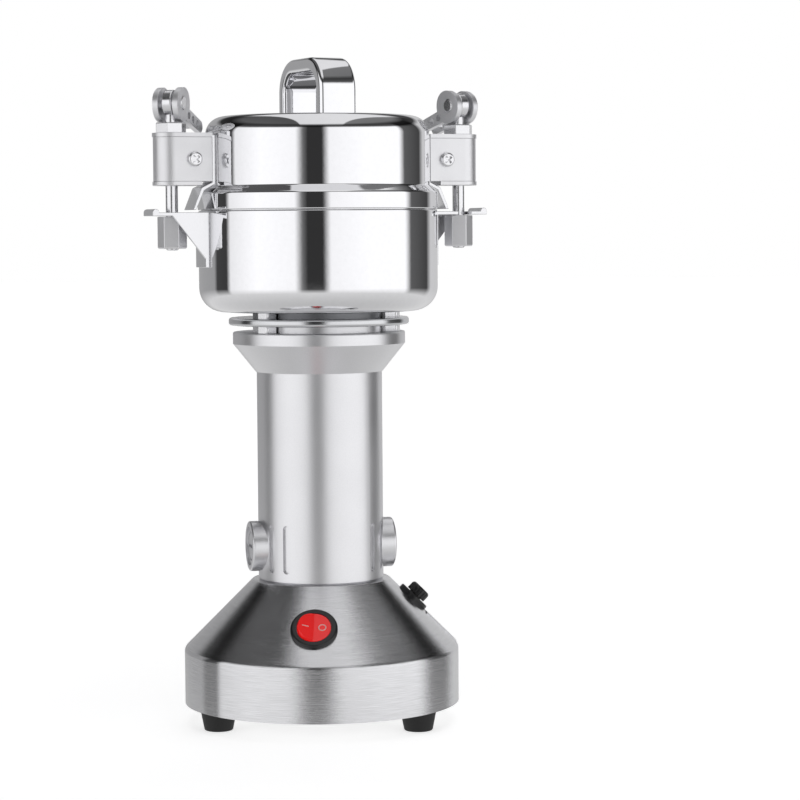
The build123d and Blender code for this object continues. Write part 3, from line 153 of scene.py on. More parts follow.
@dataclass(frozen=True)
class Metal:
    """Bare or painted metal with fine finishing marks.

    Attributes:
        name: what the metal is and how it was made.
        colour: sRGB hex colour at normal incidence.
        roughness: middle value of the gloss.
        brush: direction of the marks.
        mark_mm: spacing of the marks in millimetres.
        mark_depth: bump strength of the marks.
        smudge: how much handling marks change the roughness.
        streak: how much the marks darken the metal.
        anisotropic: stretch of the highlight across the marks.
    """

    name: str
    colour: str
    roughness: float
    brush: Brush = Brush.NONE
    mark_mm: float = 0.4
    mark_depth: float = 0.02
    smudge: float = 0.03
    streak: float = 0.10
    anisotropic: float = 0.0

    def material(self) -> bpy.types.Material:
        """Build the node material."""
        found = bpy.data.materials.get(self.name)
        if found:
            return found
        made = bpy.data.materials.new(self.name)
        made.use_nodes = True
        tree = made.node_tree
        shader = tree.nodes["Principled BSDF"]
        place = add(tree, "ShaderNodeTexCoord").outputs["Object"]
        smudges = add(tree, "ShaderNodeTexNoise", {}, {"Vector": place, "Scale": SMUDGE_WAVES, "Detail": 4.0})
        low = max(0.01, self.roughness - self.smudge)
        spread = add(tree, "ShaderNodeMapRange", {}, {
            "Value": smudges.outputs["Fac"], "From Min": 0.3, "From Max": 0.7,
            "To Min": low, "To Max": self.roughness + self.smudge})
        height = self.marks(tree, place)
        rough = add(tree, "ShaderNodeMath", {"operation": "MULTIPLY_ADD"}, {
            0: height, 1: 0.5 * self.smudge, 2: spread.outputs["Result"]})
        bump = add(tree, "ShaderNodeBump", {}, {
            "Strength": self.mark_depth, "Distance": self.mark_mm * MM, "Height": height})
        tint = add(tree, "ShaderNodeMixRGB", {"blend_type": "MULTIPLY"}, {
            "Fac": self.streak, "Color1": linear(self.colour), "Color2": height})
        tree.links.new(tint.outputs["Color"], shader.inputs["Base Color"])
        tree.links.new(rough.outputs["Value"], shader.inputs["Roughness"])
        tree.links.new(bump.outputs["Normal"], shader.inputs["Normal"])
        shader.inputs["Metallic"].default_value = 1.0
        shader.inputs["Anisotropic"].default_value = self.anisotropic
        if self.anisotropic:
            around = add(tree, "ShaderNodeTangent", {"direction_type": "RADIAL", "axis": "Z"})
            shader.inputs["Anisotropic Rotation"].default_value = QUARTER_TURN
            tree.links.new(around.outputs["Tangent"], shader.inputs["Tangent"])
        return made

    def marks(self, tree: bpy.types.NodeTree, place: bpy.types.NodeSocket) -> bpy.types.NodeSocket:
        """Height of the finishing marks.

        Args:
            tree: the material's node tree.
            place: object coordinates in metres.

        Returns:
            A socket from 0 to 1: grain without a direction, or lines drawn out around the axis.
        """
        scale = 1.0 / (self.mark_mm * MM)
        if self.brush is Brush.NONE:
            grain = add(tree, "ShaderNodeTexNoise", {}, {"Vector": place, "Scale": scale, "Detail": 3.0})
            return grain.outputs["Fac"]
        axes = add(tree, "ShaderNodeSeparateXYZ", {}, {"Vector": place}).outputs
        turn = add(tree, "ShaderNodeMath", {"operation": "ARCTAN2"}, {0: axes["Y"], 1: axes["X"]})
        flat = add(tree, "ShaderNodeVectorMath", {"operation": "MULTIPLY"}, {0: place, 1: (1.0, 1.0, 0.0)})
        reach = add(tree, "ShaderNodeVectorMath", {"operation": "LENGTH"}, {0: flat.outputs["Vector"]})
        slow = add(tree, "ShaderNodeMath", {"operation": "MULTIPLY"}, {
            0: turn.outputs["Value"], 1: LINE_DRAW})
        lines = add(tree, "ShaderNodeCombineXYZ", {}, {
            "X": slow.outputs["Value"], "Y": reach.outputs["Value"], "Z": axes["Z"]})
        grain = add(tree, "ShaderNodeTexNoise", {}, {
            "Vector": lines.outputs["Vector"], "Scale": scale, "Detail": 4.0, "Roughness": 0.6})
        return grain.outputs["Fac"]


@dataclass(frozen=True)
class Moulding:
    """Moulded plastic, rubber or similar, with the grain of its mould.

    Attributes:
        name: what the material is and how it was made.
        colour: sRGB hex colour.
        roughness: gloss of the surface.
        grain_mm: size of the mould's grain in millimetres.
        grain_depth: bump strength of the grain.
        coat: gloss skin of a polished mould.
        glow: light that passes through a translucent moulding.
        painted_glow: painted glow, emission that brightens the moulding's own colour.
        clear: share of light that goes straight through.
    """

    name: str
    colour: str
    roughness: float
    grain_mm: float = 0.3
    grain_depth: float = 0.1
    coat: float = 0.0
    glow: float = 0.0
    painted_glow: float = 0.0
    clear: float = 0.0

    def material(self) -> bpy.types.Material:
        """Build the node material."""
        found = bpy.data.materials.get(self.name)
        if found:
            return found
        made = bpy.data.materials.new(self.name)
        made.use_nodes = True
        tree = made.node_tree
        shader = tree.nodes["Principled BSDF"]
        place = add(tree, "ShaderNodeTexCoord").outputs["Object"]
        grain = add(tree, "ShaderNodeTexNoise", {}, {
            "Vector": place, "Scale": 1.0 / (self.grain_mm * MM), "Detail": 3.0})
        tint = add(tree, "ShaderNodeMixRGB", {"blend_type": "OVERLAY"}, {
            "Fac": GRAIN_TINT, "Color1": linear(self.colour), "Color2": grain.outputs["Fac"]})
        rough = add(tree, "ShaderNodeMapRange", {}, {
            "Value": grain.outputs["Fac"],
            "To Min": max(0.02, self.roughness - GRAIN_GLOSS), "To Max": self.roughness + GRAIN_GLOSS})
        bump = add(tree, "ShaderNodeBump", {}, {
            "Strength": self.grain_depth, "Distance": self.grain_mm * MM, "Height": grain.outputs["Fac"]})
        tree.links.new(tint.outputs["Color"], shader.inputs["Base Color"])
        tree.links.new(rough.outputs["Result"], shader.inputs["Roughness"])
        tree.links.new(bump.outputs["Normal"], shader.inputs["Normal"])
        shader.inputs["Coat Weight"].default_value = self.coat
        shader.inputs["Subsurface Weight"].default_value = self.glow
        shader.inputs["Emission Color"].default_value = linear(self.colour)
        # Emission here is a painted glow that brightens the moulding's colour.
        shader.inputs["Emission Strength"].default_value = self.painted_glow
        shader.inputs["Transmission Weight"].default_value = self.clear
        return made


# Mirror-polished austenitic stainless sheet: near-white metal, faint wiping marks.
POLISHED = Metal("mirror_polished_stainless", "#F3F3F5", 0.03, mark_mm=2.5, mark_depth=0.003,
                 smudge=0.01, streak=0.06)
# Cast and tumbled stainless fittings: bright, a little softer than the sheet.
BUFFED = Metal("buffed_stainless_fittings", "#F0F0F2", 0.2, mark_mm=0.5, mark_depth=0.04, smudge=0.03)
# Clamp steel blasted with fine beads: satin, so that it shows soft gradients and no images.
SATIN = Metal("bead_blasted_clamp_steel", "#F8F8FA", 0.42, mark_mm=0.35, mark_depth=0.05, smudge=0.04)
# Rough cast aluminium of the spacer ring between bowl and housing, its grey darkened as painted shade for
# that recess.
SHADED_CAST = Metal("rough_cast_aluminium", "#8E8F92", 0.38, mark_mm=0.7, mark_depth=0.25, smudge=0.06)
# Sheet spun on a lathe and brushed around: fine rings draw the highlight across them.
BRUSHED = Metal("spun_brushed_stainless", "#F2F2F4", 0.17, brush=Brush.AROUND, mark_mm=0.32,
                mark_depth=0.22, smudge=0.04, streak=0.34, anisotropic=0.97)
# Aluminium casting under satin silver paint: soft even sheen, slight orange peel.
SILVER = Metal("silver_painted_casting", "#F2F2F4", 0.33, mark_mm=0.6, mark_depth=0.03, smudge=0.02)
# Turned and ground plate, bright with fine rings.
TURNED = Metal("turned_bright_steel", "#DADBDD", 0.14, brush=Brush.AROUND, mark_mm=0.18, mark_depth=0.08)
# Zinc-plated steel fasteners and pressings: greyish, softly mottled.
ZINC = Metal("zinc_plated_steel", "#B9BBBB", 0.30, mark_mm=0.8, mark_depth=0.08, smudge=0.08)
# Stamped core laminations: dark oxide on the edges of thin sheets.
LAMINATION = Metal("oxidised_core_steel", "#5B5C5F", 0.45, mark_mm=0.5, mark_depth=0.2)
# Enamelled copper wire: warm and glossy.
COPPER = Metal("enamelled_copper_wire", "#B5673A", 0.28, mark_mm=0.45, mark_depth=0.3)
# Drawn brass tube.
BRASS = Metal("drawn_brass", "#C9A659", 0.25, mark_mm=0.5, mark_depth=0.05)
# Moulded black thermoplastic with a satin skin.
BLACK_PLASTIC = Moulding("moulded_black_polyamide", "#141415", 0.32, grain_mm=0.35,
                         grain_depth=0.06, coat=0.2)
# Moulded rubber: deep black, matt.
RUBBER = Moulding("moulded_black_rubber", "#121212", 0.55, grain_mm=0.5, grain_depth=0.15)
# Glossy translucent polycarbonate of the rocker, with a painted glow that brightens its red.
RED = Moulding("translucent_red_polycarbonate", "#E01818", 0.22, grain_mm=0.8,
               grain_depth=0.01, coat=0.3, glow=0.25, painted_glow=0.4)
# Pad-printed white ink, thin enough that the red shows through.
WHITE_INK = Moulding("white_pad_print_ink", "#F2C9C4", 0.45, grain_mm=0.2, grain_depth=0.03)
# Pressed carbon-graphite.
CARBON = Moulding("pressed_carbon_graphite", "#1B1B1C", 0.6, grain_mm=0.2, grain_depth=0.2)
# Moulded silicone seal.
SILICONE = Moulding("moulded_white_silicone", "#DAD8D2", 0.42, grain_mm=0.6, grain_depth=0.04, glow=0.1)
# Clear fuse glass.
GLASS = Moulding("clear_fuse_glass", "#EEF4F4", 0.04, grain_mm=2.0, grain_depth=0.0, clear=0.95)


# ---------------------------------------------------------------- meshes
def rounded(points: list[tuple[float, float]], radii: list[float], steps: int = 8) -> np.ndarray:
    """Round the corners of an open outline.

    Each inner corner is replaced by an arc that touches both sides: it starts at
    radius * tan(half the turn) before the corner and its centre lies on the bisector.

    Args:
        points: the outline's corners.
        radii: one radius for each inner corner; 0 keeps it sharp.
        steps: number of chords in an arc.

    Returns:
        The outline's points, one row each.
    """
    corners = np.array(points, float)
    rows = [corners[:1]]
    for before, corner, after, radius in zip(corners[:-2], corners[1:-1], corners[2:], radii):
        if radius <= 0:
            rows.append(corner[None])
            continue
        into = (corner - before) / np.linalg.norm(corner - before)
        out = (after - corner) / np.linalg.norm(after - corner)
        turn = math.acos(float(np.clip(into @ out, -1, 1)))
        reach = radius * math.tan(turn / 2)
        start = corner - into * reach
        side = out - into * float(into @ out)
        side /= np.linalg.norm(side)
        angles = np.linspace(0, turn, steps + 1)[:, None]
        rows.append(start + side * radius * (1 - np.cos(angles)) + into * radius * np.sin(angles))
    rows.append(corners[-1:])
    return np.vstack(rows)


def grid_faces(rows: int, columns: int, wrap_rows: bool, wrap_columns: bool) -> np.ndarray:
    """Index quads of a grid of points stored row by row.

    Args:
        rows: number of rows.
        columns: number of points in a row.
        wrap_rows: joins the last row to the first.
        wrap_columns: joins the last column to the first.

    Returns:
        Quads, one row of four indices each.
    """
    r = np.arange(rows if wrap_rows else rows - 1)[:, None]
    c = np.arange(columns if wrap_columns else columns - 1)[None, :]
    r2, c2 = (r + 1) % rows, (c + 1) % columns
    quads = np.stack([r * columns + c, r * columns + c2, r2 * columns + c2, r2 * columns + c], axis=-1)
    return quads.reshape(-1, 4)


def finish_mesh(name: str, points: np.ndarray, faces: list, sharp: float = 32.0) -> bpy.types.Object:
    """Make an object from points and faces: weld it, turn faces outwards, set smooth shading.

    Args:
        name: the object's name.
        points: vertex places in metres.
        faces: index lists.
        sharp: edges that turn by more than this many degrees stay sharp.

    Returns:
        The object, linked to the scene.
    """
    mesh = bpy.data.meshes.new(name)
    mesh.from_pydata(points.tolist(), [], faces)
    work = bmesh.new()
    work.from_mesh(mesh)
    bmesh.ops.remove_doubles(work, verts=work.verts, dist=1e-6)
    bmesh.ops.dissolve_degenerate(work, edges=work.edges, dist=1e-7)
    bmesh.ops.recalc_face_normals(work, faces=work.faces)
    work.to_mesh(mesh)
    work.free()
    mesh.polygons.foreach_set("use_smooth", np.ones(len(mesh.polygons), bool))
    mesh.set_sharp_from_angle(angle=math.radians(sharp))
    made = bpy.data.objects.new(name, mesh)
    bpy.context.scene.collection.objects.link(made)
    return made


def lathe(name: str, outline: np.ndarray, segments: int = 240) -> bpy.types.Object:
    """Turn a closed outline about Z: point (r, z) at angle a goes to (r cos a, r sin a, z).

    Args:
        name: the object's name.
        outline: rows of radius and height in metres.
        segments: number of steps around.

    Returns:
        The turned object.
    """
    angles = np.linspace(0, 2 * math.pi, segments, endpoint=False)[:, None]
    radius, height = outline[:, 0][None, :], outline[:, 1][None, :]
    points = np.stack([radius * np.cos(angles), radius * np.sin(angles), height + 0 * angles], axis=-1)
    faces = grid_faces(segments, len(outline), True, True)
    return finish_mesh(name, points.reshape(-1, 3), faces.tolist())


def sweep(name: str, path: np.ndarray, across: np.ndarray, section: np.ndarray) -> bpy.types.Object:
    """Carry a closed section along a path in one plane.

    A section point (u, v) at path point p goes to p + u * across + v * n, where n is the
    path's direction turned a quarter about the fixed across vector.

    Args:
        name: the object's name.
        path: rows of path points in metres.
        across: unit vector square to the path's plane.
        section: rows of (u, v) in metres.

    Returns:
        The swept object, closed at both ends.
    """
    along = np.gradient(path, axis=0)
    along /= np.linalg.norm(along, axis=1)[:, None]
    normal = np.cross(along, across)
    points = path[:, None] + section[None, :, :1] * across + section[None, :, 1:] * normal[:, None]
    rows, columns = points.shape[:2]
    faces = grid_faces(rows, columns, False, True).tolist()
    faces += [list(range(columns)), list(range((rows - 1) * columns, rows * columns))]
    return finish_mesh(name, points.reshape(-1, 3), faces)


def softened(node: str, width_mm: float, sharp: float = 28.0, segments: int = 2) -> bpy.types.Object:
    """Copy a CAD node with its hard edges broken by a small bevel.

    Args:
        node: the CAD node.
        width_mm: width of the bevel in millimetres.
        sharp: edges that turn by more than this many degrees are bevelled.
        segments: number of steps in the bevel.

    Returns:
        The bevelled copy, with the node's name and a suffix.
    """
    source = frame["nodes"][node].data
    work = bmesh.new()
    work.from_mesh(source)
    bmesh.ops.remove_doubles(work, verts=work.verts, dist=2e-6)
    bmesh.ops.dissolve_limit(work, angle_limit=math.radians(0.5), verts=work.verts, edges=work.edges)
    mesh = bpy.data.meshes.new(node + "_edged")
    work.to_mesh(mesh)
    work.free()
    mesh.materials.clear()
    mesh.polygons.foreach_set("use_smooth", np.ones(len(mesh.polygons), bool))
    made = bpy.data.objects.new(node + "_edged", mesh)
    bpy.context.scene.collection.objects.link(made)
    bevel = made.modifiers.new("edge_break", "BEVEL")
    bevel.width = width_mm * MM
    bevel.segments = segments
    bevel.limit_method = "ANGLE"
    bevel.angle_limit = math.radians(sharp)
    bevel.use_clamp_overlap = True
    weigh = made.modifiers.new("flat_faces_flat", "WEIGHTED_NORMAL")
    weigh.mode = "FACE_AREA"
    weigh.weight = 100
    return made


def dress(piece: bpy.types.Object, finish: Metal | Moulding) -> None:
    """Give a piece one finish.

    Args:
        piece: the object.
        finish: its finish.
    """
    piece.data.materials.clear()
    piece.data.materials.append(finish.material())


def fit(piece: bpy.types.Object, finish: Metal | Moulding, body: str, slot: str,
        *nodes: str) -> None:
    """Dress a new piece, let it ride on its body and hide the CAD nodes it stands for.

    Args:
        piece: the new object.
        finish: its finish.
        body: the CAD body it moves with.
        slot: the record's material slot; not used.
        nodes: CAD nodes that it replaces.
    """
    dress(piece, finish)
    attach(piece, body)
    for node in nodes:
        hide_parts(node)


def extent(node: str) -> tuple[float, float, float]:
    """Half width in X, lowest and highest height of a CAD node.

    Args:
        node: the CAD node.

    Returns:
        The three lengths in metres.
    """
    low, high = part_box(node)
    return (high.x - low.x) / 2, low.z, high.z


def joint(name: str) -> dict:
    """Find a joint in the frame.

    Args:
        name: the joint's name.

    Returns:
        Its entry, with its place and axis.
    """
    return next(entry for entry in frame["joints"] if entry["name"] == name)


# ---------------------------------------------------------------- sub-assemblies
@dataclass
class Bowl:
    """Pressed grinding bowl with its spigot ring."""

    sheet: float = 1.5 * MM
    corner: float = 12.0 * MM
    spigot_wall: float = 1.5 * MM
    spigot_drop: float = 10.0 * MM
    spigot_rise: float = 5.0 * MM
    spigot_slope: float = 0.6 * MM
    notch: float = 0.01 * MM
    lip: float = 0.45 * MM
    rolled: float = 0.8 * MM
    seal_hole: float = 11.0 * MM

    def build(self) -> None:
        """Turn the bowl from one closed outline: outside up, over the rim, inside down."""
        radius, low, top = extent("grinding_bowl")
        rim = top - self.spigot_rise
        inner = radius - self.sheet
        spigot = inner - self.spigot_wall
        floor = low + self.sheet
        points = [
            (self.seal_hole, low), (radius, low), (radius, rim), (inner + self.notch, rim),
            (inner, top), (spigot, top), (spigot, top - self.spigot_drop),
            (inner, top - self.spigot_drop - self.spigot_slope), (inner, floor), (self.seal_hole, floor)]
        radii = [self.corner, self.rolled, 0, self.lip, self.lip, 0, 0, self.corner - self.sheet]
        bowl = lathe("polished_bowl", rounded(points, radii, 10))
        fit(bowl, POLISHED, "root", "polished_stainless", "grinding_bowl")


@dataclass
class Lid:
    """Pressed lid with a flange and a slightly domed top."""

    sheet: float = 1.2 * MM
    corner: float = 9.0 * MM
    flange_height: float = 8.3 * MM
    step: float = 4.1 * MM
    step_rise: float = 3.2 * MM
    dome: float = 0.8 * MM
    crown_rise: float = 0.05 * MM
    flange_bend: float = 1.5 * MM
    neck_bend: float = 1.2 * MM
    shoulder_share: float = 0.4
    lip_flat: float = 0.02 * MM

    def outline(self, inset: float) -> list[tuple[float, float]]:
        """Half outline of the lid.

        Args:
            inset: how far the walls are moved in, in metres.

        Returns:
            The outline's corners from the flange's edge to near the pole.
        """
        flange, low, top = extent("lid_shell")
        shoulder = low + self.flange_height - self.shoulder_share * inset
        wall = flange - self.step - inset
        crown = top - self.dome - inset
        return [(flange - inset, low), (flange - inset, shoulder), (wall, shoulder + self.step_rise),
                (wall, crown), (wall - self.corner, crown + self.crown_rise)]

    def half(self, inset: float) -> np.ndarray:
        """Rounded half outline of the lid.

        Args:
            inset: how far the walls are moved in, in metres.

        Returns:
            Its points from the middle of the flange's rolled edge to the pole.
        """
        points = self.outline(inset)
        middle = (extent("lid_shell")[0] - self.sheet / 2, points[0][1])
        radii = [self.sheet / 2 - self.lip_flat, self.flange_bend, self.neck_bend, self.corner - inset]
        side = rounded([middle, *points], radii, 10)
        last = points[-1]
        reach = np.linspace(last[0], 0.0, 12)[1:]
        rise = last[1] + (self.dome - self.crown_rise) * (1 - (reach / last[0]) ** 2)
        return np.vstack([side, np.stack([reach, rise], axis=1)])

    def build(self) -> None:
        """Turn the lid: outside up to the pole, then the inside back down."""
        outline = np.vstack([self.half(0.0), self.half(self.sheet)[::-1]])
        lid = lathe("polished_lid", outline)
        fit(lid, POLISHED, "lid", "polished_stainless", "lid_shell")


@dataclass
class Handle:
    """Bent strap arch on the lid."""

    width: float = 19.5 * MM
    thickness: float = 7.0 * MM
    span: float = 46.0 * MM
    bend: float = 13.0 * MM
    edge: float = 2.3 * MM
    angle: float = -62.0
    seat: float = 0.05 * MM

    def build(self) -> None:
        """Carry a rounded strap section along a rounded arch."""
        _, low, top = extent("lid_handle")
        half, high = self.span / 2, top - self.thickness / 2
        foot = low + self.seat
        arch = rounded([(-half, foot), (-half, high), (half, high), (half, foot)], [self.bend] * 2, 16)
        turn = math.radians(self.angle)
        along = np.array([math.cos(turn), math.sin(turn), 0.0])
        across = np.array([-math.sin(turn), math.cos(turn), 0.0])
        path = arch[:, :1] * along + arch[:, 1:] * np.array([0.0, 0.0, 1.0])
        w, t, e = self.width / 2, self.thickness / 2, self.edge
        corners = [(0, -t), (w, -t), (w, t), (-w, t), (-w, -t), (0, -t)]
        section = rounded(corners, [e] * 4, 6)[:-1]
        handle = sweep("handle_arch", path, across, section)
        fit(handle, POLISHED, "lid", "polished_stainless", "lid_handle")


@dataclass
class Base:
    """Spun skirt of the base: an upright band under a cone."""

    sheet: float = 1.0 * MM
    band_corner: float = 3.5 * MM
    band_height: float = 27.4 * MM
    top_corner: float = 0.8 * MM
    inner_corner: float = 0.5 * MM
    top_hole: float = 21.5 * MM

    def build(self) -> None:
        """Turn the skirt: band, corner, cone, top ring, and the inside back down."""
        radius, low, top = extent("base_skirt")
        corner = low + self.band_height
        cone_r = radius - (top - corner)
        s = self.sheet
        diag = s * (math.sqrt(2) - 1)
        outer = rounded([(radius, low), (radius, corner), (cone_r, top), (self.top_hole, top)],
                        [self.band_corner, self.top_corner], 8)
        inner = rounded([(self.top_hole, top - s), (cone_r - diag, top - s), (radius - s, corner - diag),
                         (radius - s, low)], [self.inner_corner, self.band_corner - s], 8)
        skirt = lathe("brushed_skirt", np.vstack([outer, inner]), 288)
        fit(skirt, BRUSHED, "root", "brushed_stainless", "base_skirt")


@dataclass
class Column:
    """Bright plate between the column and the bowl."""

    hole: float = 6.0 * MM
    edge: float = 1.3 * MM

    def build(self) -> None:
        """Turn the plate with its rolled edge."""
        radius, low, high = extent("spacer_disc")
        corners = [(self.hole, low), (radius, low), (radius, high), (self.hole, high)]
        outline = rounded(corners, [self.edge] * 2, 8)
        fit(lathe("bright_plate", outline), TURNED, "root", "turned_steel", "spacer_disc")


@dataclass
class Switch:
    """Printed marks on the rocker: a bar on the left face and a ring on the right face."""

    level: float = 0.86 * MM
    mark_r: float = 1.7 * MM
    line: float = 0.45 * MM
    ink: float = 0.04 * MM
    ring_x: float = 4.1 * MM
    bar_x: float = -4.0 * MM
    bar_tilt: float = 22.0

    def place(self, points: np.ndarray, tilt: float, offset: tuple[float, float]) -> np.ndarray:
        """Move flat mark points onto a face of the rocker.

        Args:
            points: rows of (x, y) on the face.
            tilt: slope of the face in degrees, rising to the left.
            offset: place of the mark's centre, x along the face and height above the pivot.

        Returns:
            Rows of points in the frame.
        """
        entry = joint("rocker_tilt")
        centre = np.array(entry["pos_m"])
        up = -np.array(entry["axis"])
        right = np.array([1.0, 0.0, 0.0])
        out = np.cross(right, up)
        angle = math.radians(tilt)
        x = offset[0] + points[:, :1] * math.cos(angle)
        z = offset[1] - points[:, :1] * math.sin(angle) - offset[0] * math.tan(angle)
        return centre + x * right + points[:, 1:2] * up + (z + points[:, 2:]) * out

    def build(self) -> None:
        """Make the ring and the bar as thin raised prints."""
        turns = np.linspace(0, 2 * math.pi, 40, endpoint=False)[:, None]
        section = np.array([(-1, -1), (1, -1), (1, 1), (-1, 1)]) * np.array([self.line / 2, self.ink])
        reach = self.mark_r + section[None, :, 0]
        rise = section[None, :, 1] + 0 * turns
        ring = np.stack([reach * np.cos(turns), reach * np.sin(turns), rise], axis=-1)
        points = self.place(ring.reshape(-1, 3), 0.0, (self.ring_x, self.level))
        mark = finish_mesh("rocker_ring_mark", points, grid_faces(40, 4, True, True).tolist())
        fit(mark, WHITE_INK, "rocker", "red_plastic")
        x, y, z = self.mark_r, self.line / 2, self.ink
        bar = np.array([(a * x, b * y, c * z) for a in (-1, 1) for b in (-1, 1) for c in (-1, 1)])
        faces = [[0, 1, 3, 2], [4, 6, 7, 5], [0, 4, 5, 1], [2, 3, 7, 6], [0, 2, 6, 4], [1, 5, 7, 3]]
        points = self.place(bar, self.bar_tilt, (self.bar_x, self.level))
        fit(finish_mesh("rocker_bar_mark", points, faces), WHITE_INK, "rocker", "red_plastic")


@dataclass
class Fittings:
    """CAD nodes that keep their own shape or get their edges broken."""

    edged: dict[str, tuple[float, Metal | Moulding]] = field(default_factory=lambda: {
        "clamp_blocks": (0.3, SATIN), "clamp_wraps": (0.2, SATIN), "thrust_blocks": (0.5, BUFFED),
        "fork_brackets": (0.3, BUFFED), "lid_brackets": (0.3, BUFFED), "left_cam_lever": (0.7, SATIN),
        "right_cam_lever": (0.7, SATIN), "left_clamp_nut": (0.4, SATIN), "right_clamp_nut": (0.4, SATIN),
        "spacer_posts": (0.3, BUFFED), "clamp_screws": (0.15, BUFFED), "rubber_feet": (1.2, RUBBER),
        "fuse_cap": (0.3, BLACK_PLASTIC)})
    finishes: dict[str, tuple[Metal | Moulding, str]] = field(default_factory=lambda: {
        "polished": (BUFFED, "left_eye_bolt right_eye_bolt left_lever_pin right_lever_pin"),
        "brushed": (BRUSHED, "rating_plate lower_blade upper_blade"),
        "silver": (SILVER, "motor_barrel upper_housing brush_caps"),
        # painted shade: the spacer ring's darkened grey stands for the shade between bowl and housing
        "cast": (SHADED_CAST, "bowl_spacer_ring"),
        "turned": (TURNED, "motor_shaft shaft_bearings blade_spacers blade_nut lower_bearing_bracket"),
        "zinc": (ZINC, "base_plate base_screws panel_nuts housing_screws post_screws handle_screws "
                       "brush_springs"),
        "plastic": (BLACK_PLASTIC, "switch_bezel fuse_holder_body fuse_carrier cord_gland cooling_fan"),
        "rubber": (RUBBER, "shaft_seal"),
        "red": (RED, "rocker"), "glass": (GLASS, "glass_fuse"),
        "copper": (COPPER, "field_coils armature_windings commutator"),
        "brass": (BRASS, "brush_holders switch_terminals"), "carbon": (CARBON, "carbon_brushes"),
        "core": (LAMINATION, "stator_core armature_core"), "silicone": (SILICONE, "lid_seal")})

    def build(self) -> None:
        """Dress the CAD nodes that stay, and replace those with broken edges."""
        slots = {entry["node"]: entry["material_slot"] for entry in frame["record"]["subparts"]}
        for finish, names in self.finishes.values():
            for node in names.split():
                dress(frame["nodes"][node], finish)
        for node, (width, finish) in self.edged.items():
            body = frame["nodes"][node]["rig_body"]
            fit(softened(node, width), finish, body, slots[node], node)


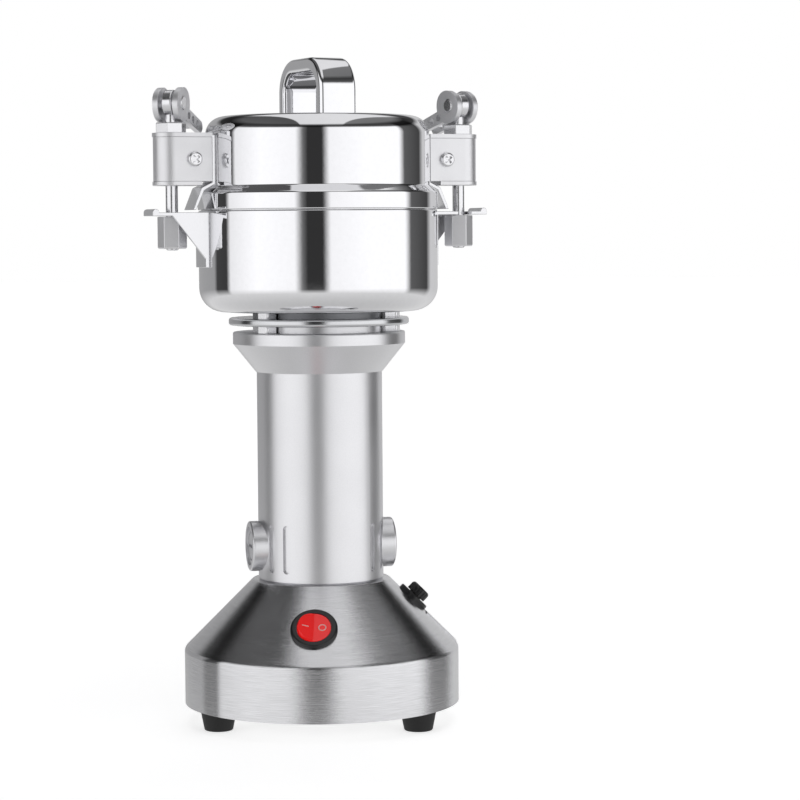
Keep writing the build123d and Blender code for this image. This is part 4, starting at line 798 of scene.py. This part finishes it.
# ---------------------------------------------------------------- studio
@dataclass
class Studio:
    """Camera, pale floor and the light tent around the object."""

    azimuth: float = 4.0
    distance: float = 1.3175
    eye: float = 0.246
    pitch: float = 3.69
    yaw: float = 1.75
    roll: float = 0.4
    lens: float = 118.6
    sensor: float = 36.0
    far: float = 50.0
    board: float = 12.0
    board_light: float = 0.66
    tent_light: float = 1.15

    def camera(self) -> None:
        """Place the camera at eye height, looking slightly down past the object's right."""
        data = bpy.data.cameras.new("studio_camera")
        data.lens = self.lens
        data.sensor_width = self.sensor
        data.clip_end = self.far
        made = bpy.data.objects.new("studio_camera", data)
        turn = math.radians(self.azimuth)
        spot = Vector((self.distance * math.sin(turn), -self.distance * math.cos(turn), self.eye))
        heading = Matrix.Rotation(math.radians(self.azimuth - self.yaw), 4, "Z")
        tilt = Matrix.Rotation(math.radians(90.0 - self.pitch), 4, "X")
        lean = Matrix.Rotation(math.radians(-self.roll), 4, "Z")
        made.matrix_world = Matrix.Translation(spot) @ heading @ tilt @ lean
        bpy.context.scene.collection.objects.link(made)
        bpy.context.scene.camera = made

    def floor(self) -> None:
        """Wide pale floor of matt board, lifted to white by a little light of its own."""
        turns = np.linspace(0, 2 * math.pi, 96, endpoint=False)
        points = np.stack([np.cos(turns), np.sin(turns), 0 * turns], axis=-1) * self.board
        made = finish_mesh("studio_floor", points, [list(range(96))])
        board = bpy.data.materials.new("matt_white_board")
        board.use_nodes = True
        shader = board.node_tree.nodes["Principled BSDF"]
        shader.inputs["Base Color"].default_value = linear("#F2F2F2")
        shader.inputs["Roughness"].default_value = 0.9
        shader.inputs["Emission Color"].default_value = (1.0, 1.0, 1.0, 1.0)
        shader.inputs["Emission Strength"].default_value = self.board_light
        made.data.materials.append(board)
        made.visible_glossy = False

    def tent(self) -> None:
        """Light tent: white walls with dark gaps, which the camera doesn't see directly."""
        world = bpy.data.worlds.new("light_tent")
        bpy.context.scene.world = world
        world.use_nodes = True
        tree = world.node_tree
        tree.nodes.clear()
        way = add(tree, "ShaderNodeTexCoord").outputs["Generated"]
        turned = add(tree, "ShaderNodeVectorRotate", {"rotation_type": "Z_AXIS"}, {
            "Vector": way, "Angle": math.radians(-self.azimuth)})
        axes = add(tree, "ShaderNodeSeparateXYZ", {}, {"Vector": turned.outputs["Vector"]}).outputs
        front = add(tree, "ShaderNodeMath", {"operation": "MULTIPLY"}, {0: axes["Y"], 1: -1.0})
        angle = add(tree, "ShaderNodeMath", {"operation": "ARCTAN2"}, {
            0: axes["X"], 1: front.outputs["Value"]})
        share = add(tree, "ShaderNodeMath", {"operation": "MULTIPLY_ADD"}, {
            0: angle.outputs["Value"], 1: 1 / (2 * math.pi), 2: 0.5})
        walls = ramp(tree, share.outputs["Value"], self.wall_stops())
        side = add(tree, "ShaderNodeMath", {"operation": "MULTIPLY_ADD"}, {0: axes["X"], 1: 0.5, 2: 0.5})
        panels = ramp(tree, side.outputs["Value"], self.panel_stops())
        height = add(tree, "ShaderNodeMath", {"operation": "MULTIPLY_ADD"}, {0: axes["Z"], 1: 0.5, 2: 0.5})
        zones = {name: ramp(tree, height.outputs["Value"], stops)
                 for name, stops in self.zone_stops().items()}
        low = add(tree, "ShaderNodeMixRGB", {"blend_type": "MULTIPLY"}, {
            "Fac": 1.0, "Color1": walls, "Color2": zones["walls"]})
        high = add(tree, "ShaderNodeMixRGB", {"blend_type": "MULTIPLY"}, {
            "Fac": 1.0, "Color1": panels, "Color2": zones["panels"]})
        upper = add(tree, "ShaderNodeMixRGB", {"blend_type": "ADD"}, {
            "Fac": 1.0, "Color1": low.outputs["Color"], "Color2": high.outputs["Color"]})
        sky = add(tree, "ShaderNodeMixRGB", {"blend_type": "ADD"}, {
            "Fac": 1.0, "Color1": upper.outputs["Color"], "Color2": zones["table"]})
        light = add(tree, "ShaderNodeBackground", {}, {
            "Color": sky.outputs["Color"], "Strength": self.tent_light})
        white = add(tree, "ShaderNodeBackground", {}, {"Color": (1, 1, 1, 1), "Strength": 1.0})
        path = add(tree, "ShaderNodeLightPath")
        mix = add(tree, "ShaderNodeMixShader", {}, {
            0: path.outputs["Is Camera Ray"], 1: light.outputs["Background"], 2: white.outputs["Background"]})
        add(tree, "ShaderNodeOutputWorld", {}, {"Surface": mix.outputs["Shader"]})

    @staticmethod
    def wall_stops() -> list[tuple[float, tuple]]:
        """Brightness of the walls around the object, by the angle from the camera's side in degrees."""
        levels = [(-180, 0.34), (-119, 0.30), (-114, 0.05), (-98, 0.04), (-93, 0.8), (-60, 1.0),
                  (-22, 0.93), (-15, 0.15), (-10, 0.03), (5, 0.03), (12, 0.9), (50, 1.0), (92, 1.0),
                  (100, 0.10), (128, 0.05), (138, 0.55), (180, 0.5)]
        return [(a / 360 + 0.5, (v, v, v * 1.01, 1.0)) for a, v in levels]

    @staticmethod
    def panel_stops() -> list[tuple[float, tuple]]:
        """Brightness of the panels overhead, by the sideways part of the direction."""
        levels = [(-1.0, 0.14), (-0.40, 0.10), (-0.28, 0.10), (-0.26, 0.85), (0.385, 0.90),
                  (0.41, 0.22), (1.0, 0.15)]
        return [(x / 2 + 0.5, (v, v, v * 1.01, 1.0)) for x, v in levels]

    @staticmethod
    def zone_stops() -> dict[str, list[tuple[float, tuple]]]:
        """Share of walls and panels, and the table's light, by the upward part of the direction."""
        levels = {
            "table": [(-1.0, 0.46), (-0.34, 0.62), (-0.085, 0.0)],
            "walls": [(-0.34, 0.0), (-0.085, 1.0), (0.36, 1.0), (0.46, 0.08), (0.66, 0.0)],
            "panels": [(0.46, 0.0), (0.60, 0.06), (0.72, 0.8), (1.0, 0.8)]}
        return {name: [(z / 2 + 0.5, (v, v, v, 1.0)) for z, v in stops] for name, stops in levels.items()}

    def build(self) -> None:
        """Set up camera, floor and tent."""
        bpy.context.scene.view_settings.view_transform = "Standard"
        self.camera()
        self.floor()
        self.tent()


def main() -> None:
    """Build every sub-assembly in order and report the pieces."""
    logging.basicConfig(level=logging.INFO, format="%(message)s")
    Studio().build()
    for part in (Fittings(), Base(), Column(), Bowl(), Lid(), Handle(), Switch()):
        part.build()
        LOG.info("built %s", type(part).__name__)
    for piece in sorted(o.name for o in bpy.data.objects if o.type == "MESH"):
        LOG.info("piece %s", piece)


if __name__ == "__main__":
    main()
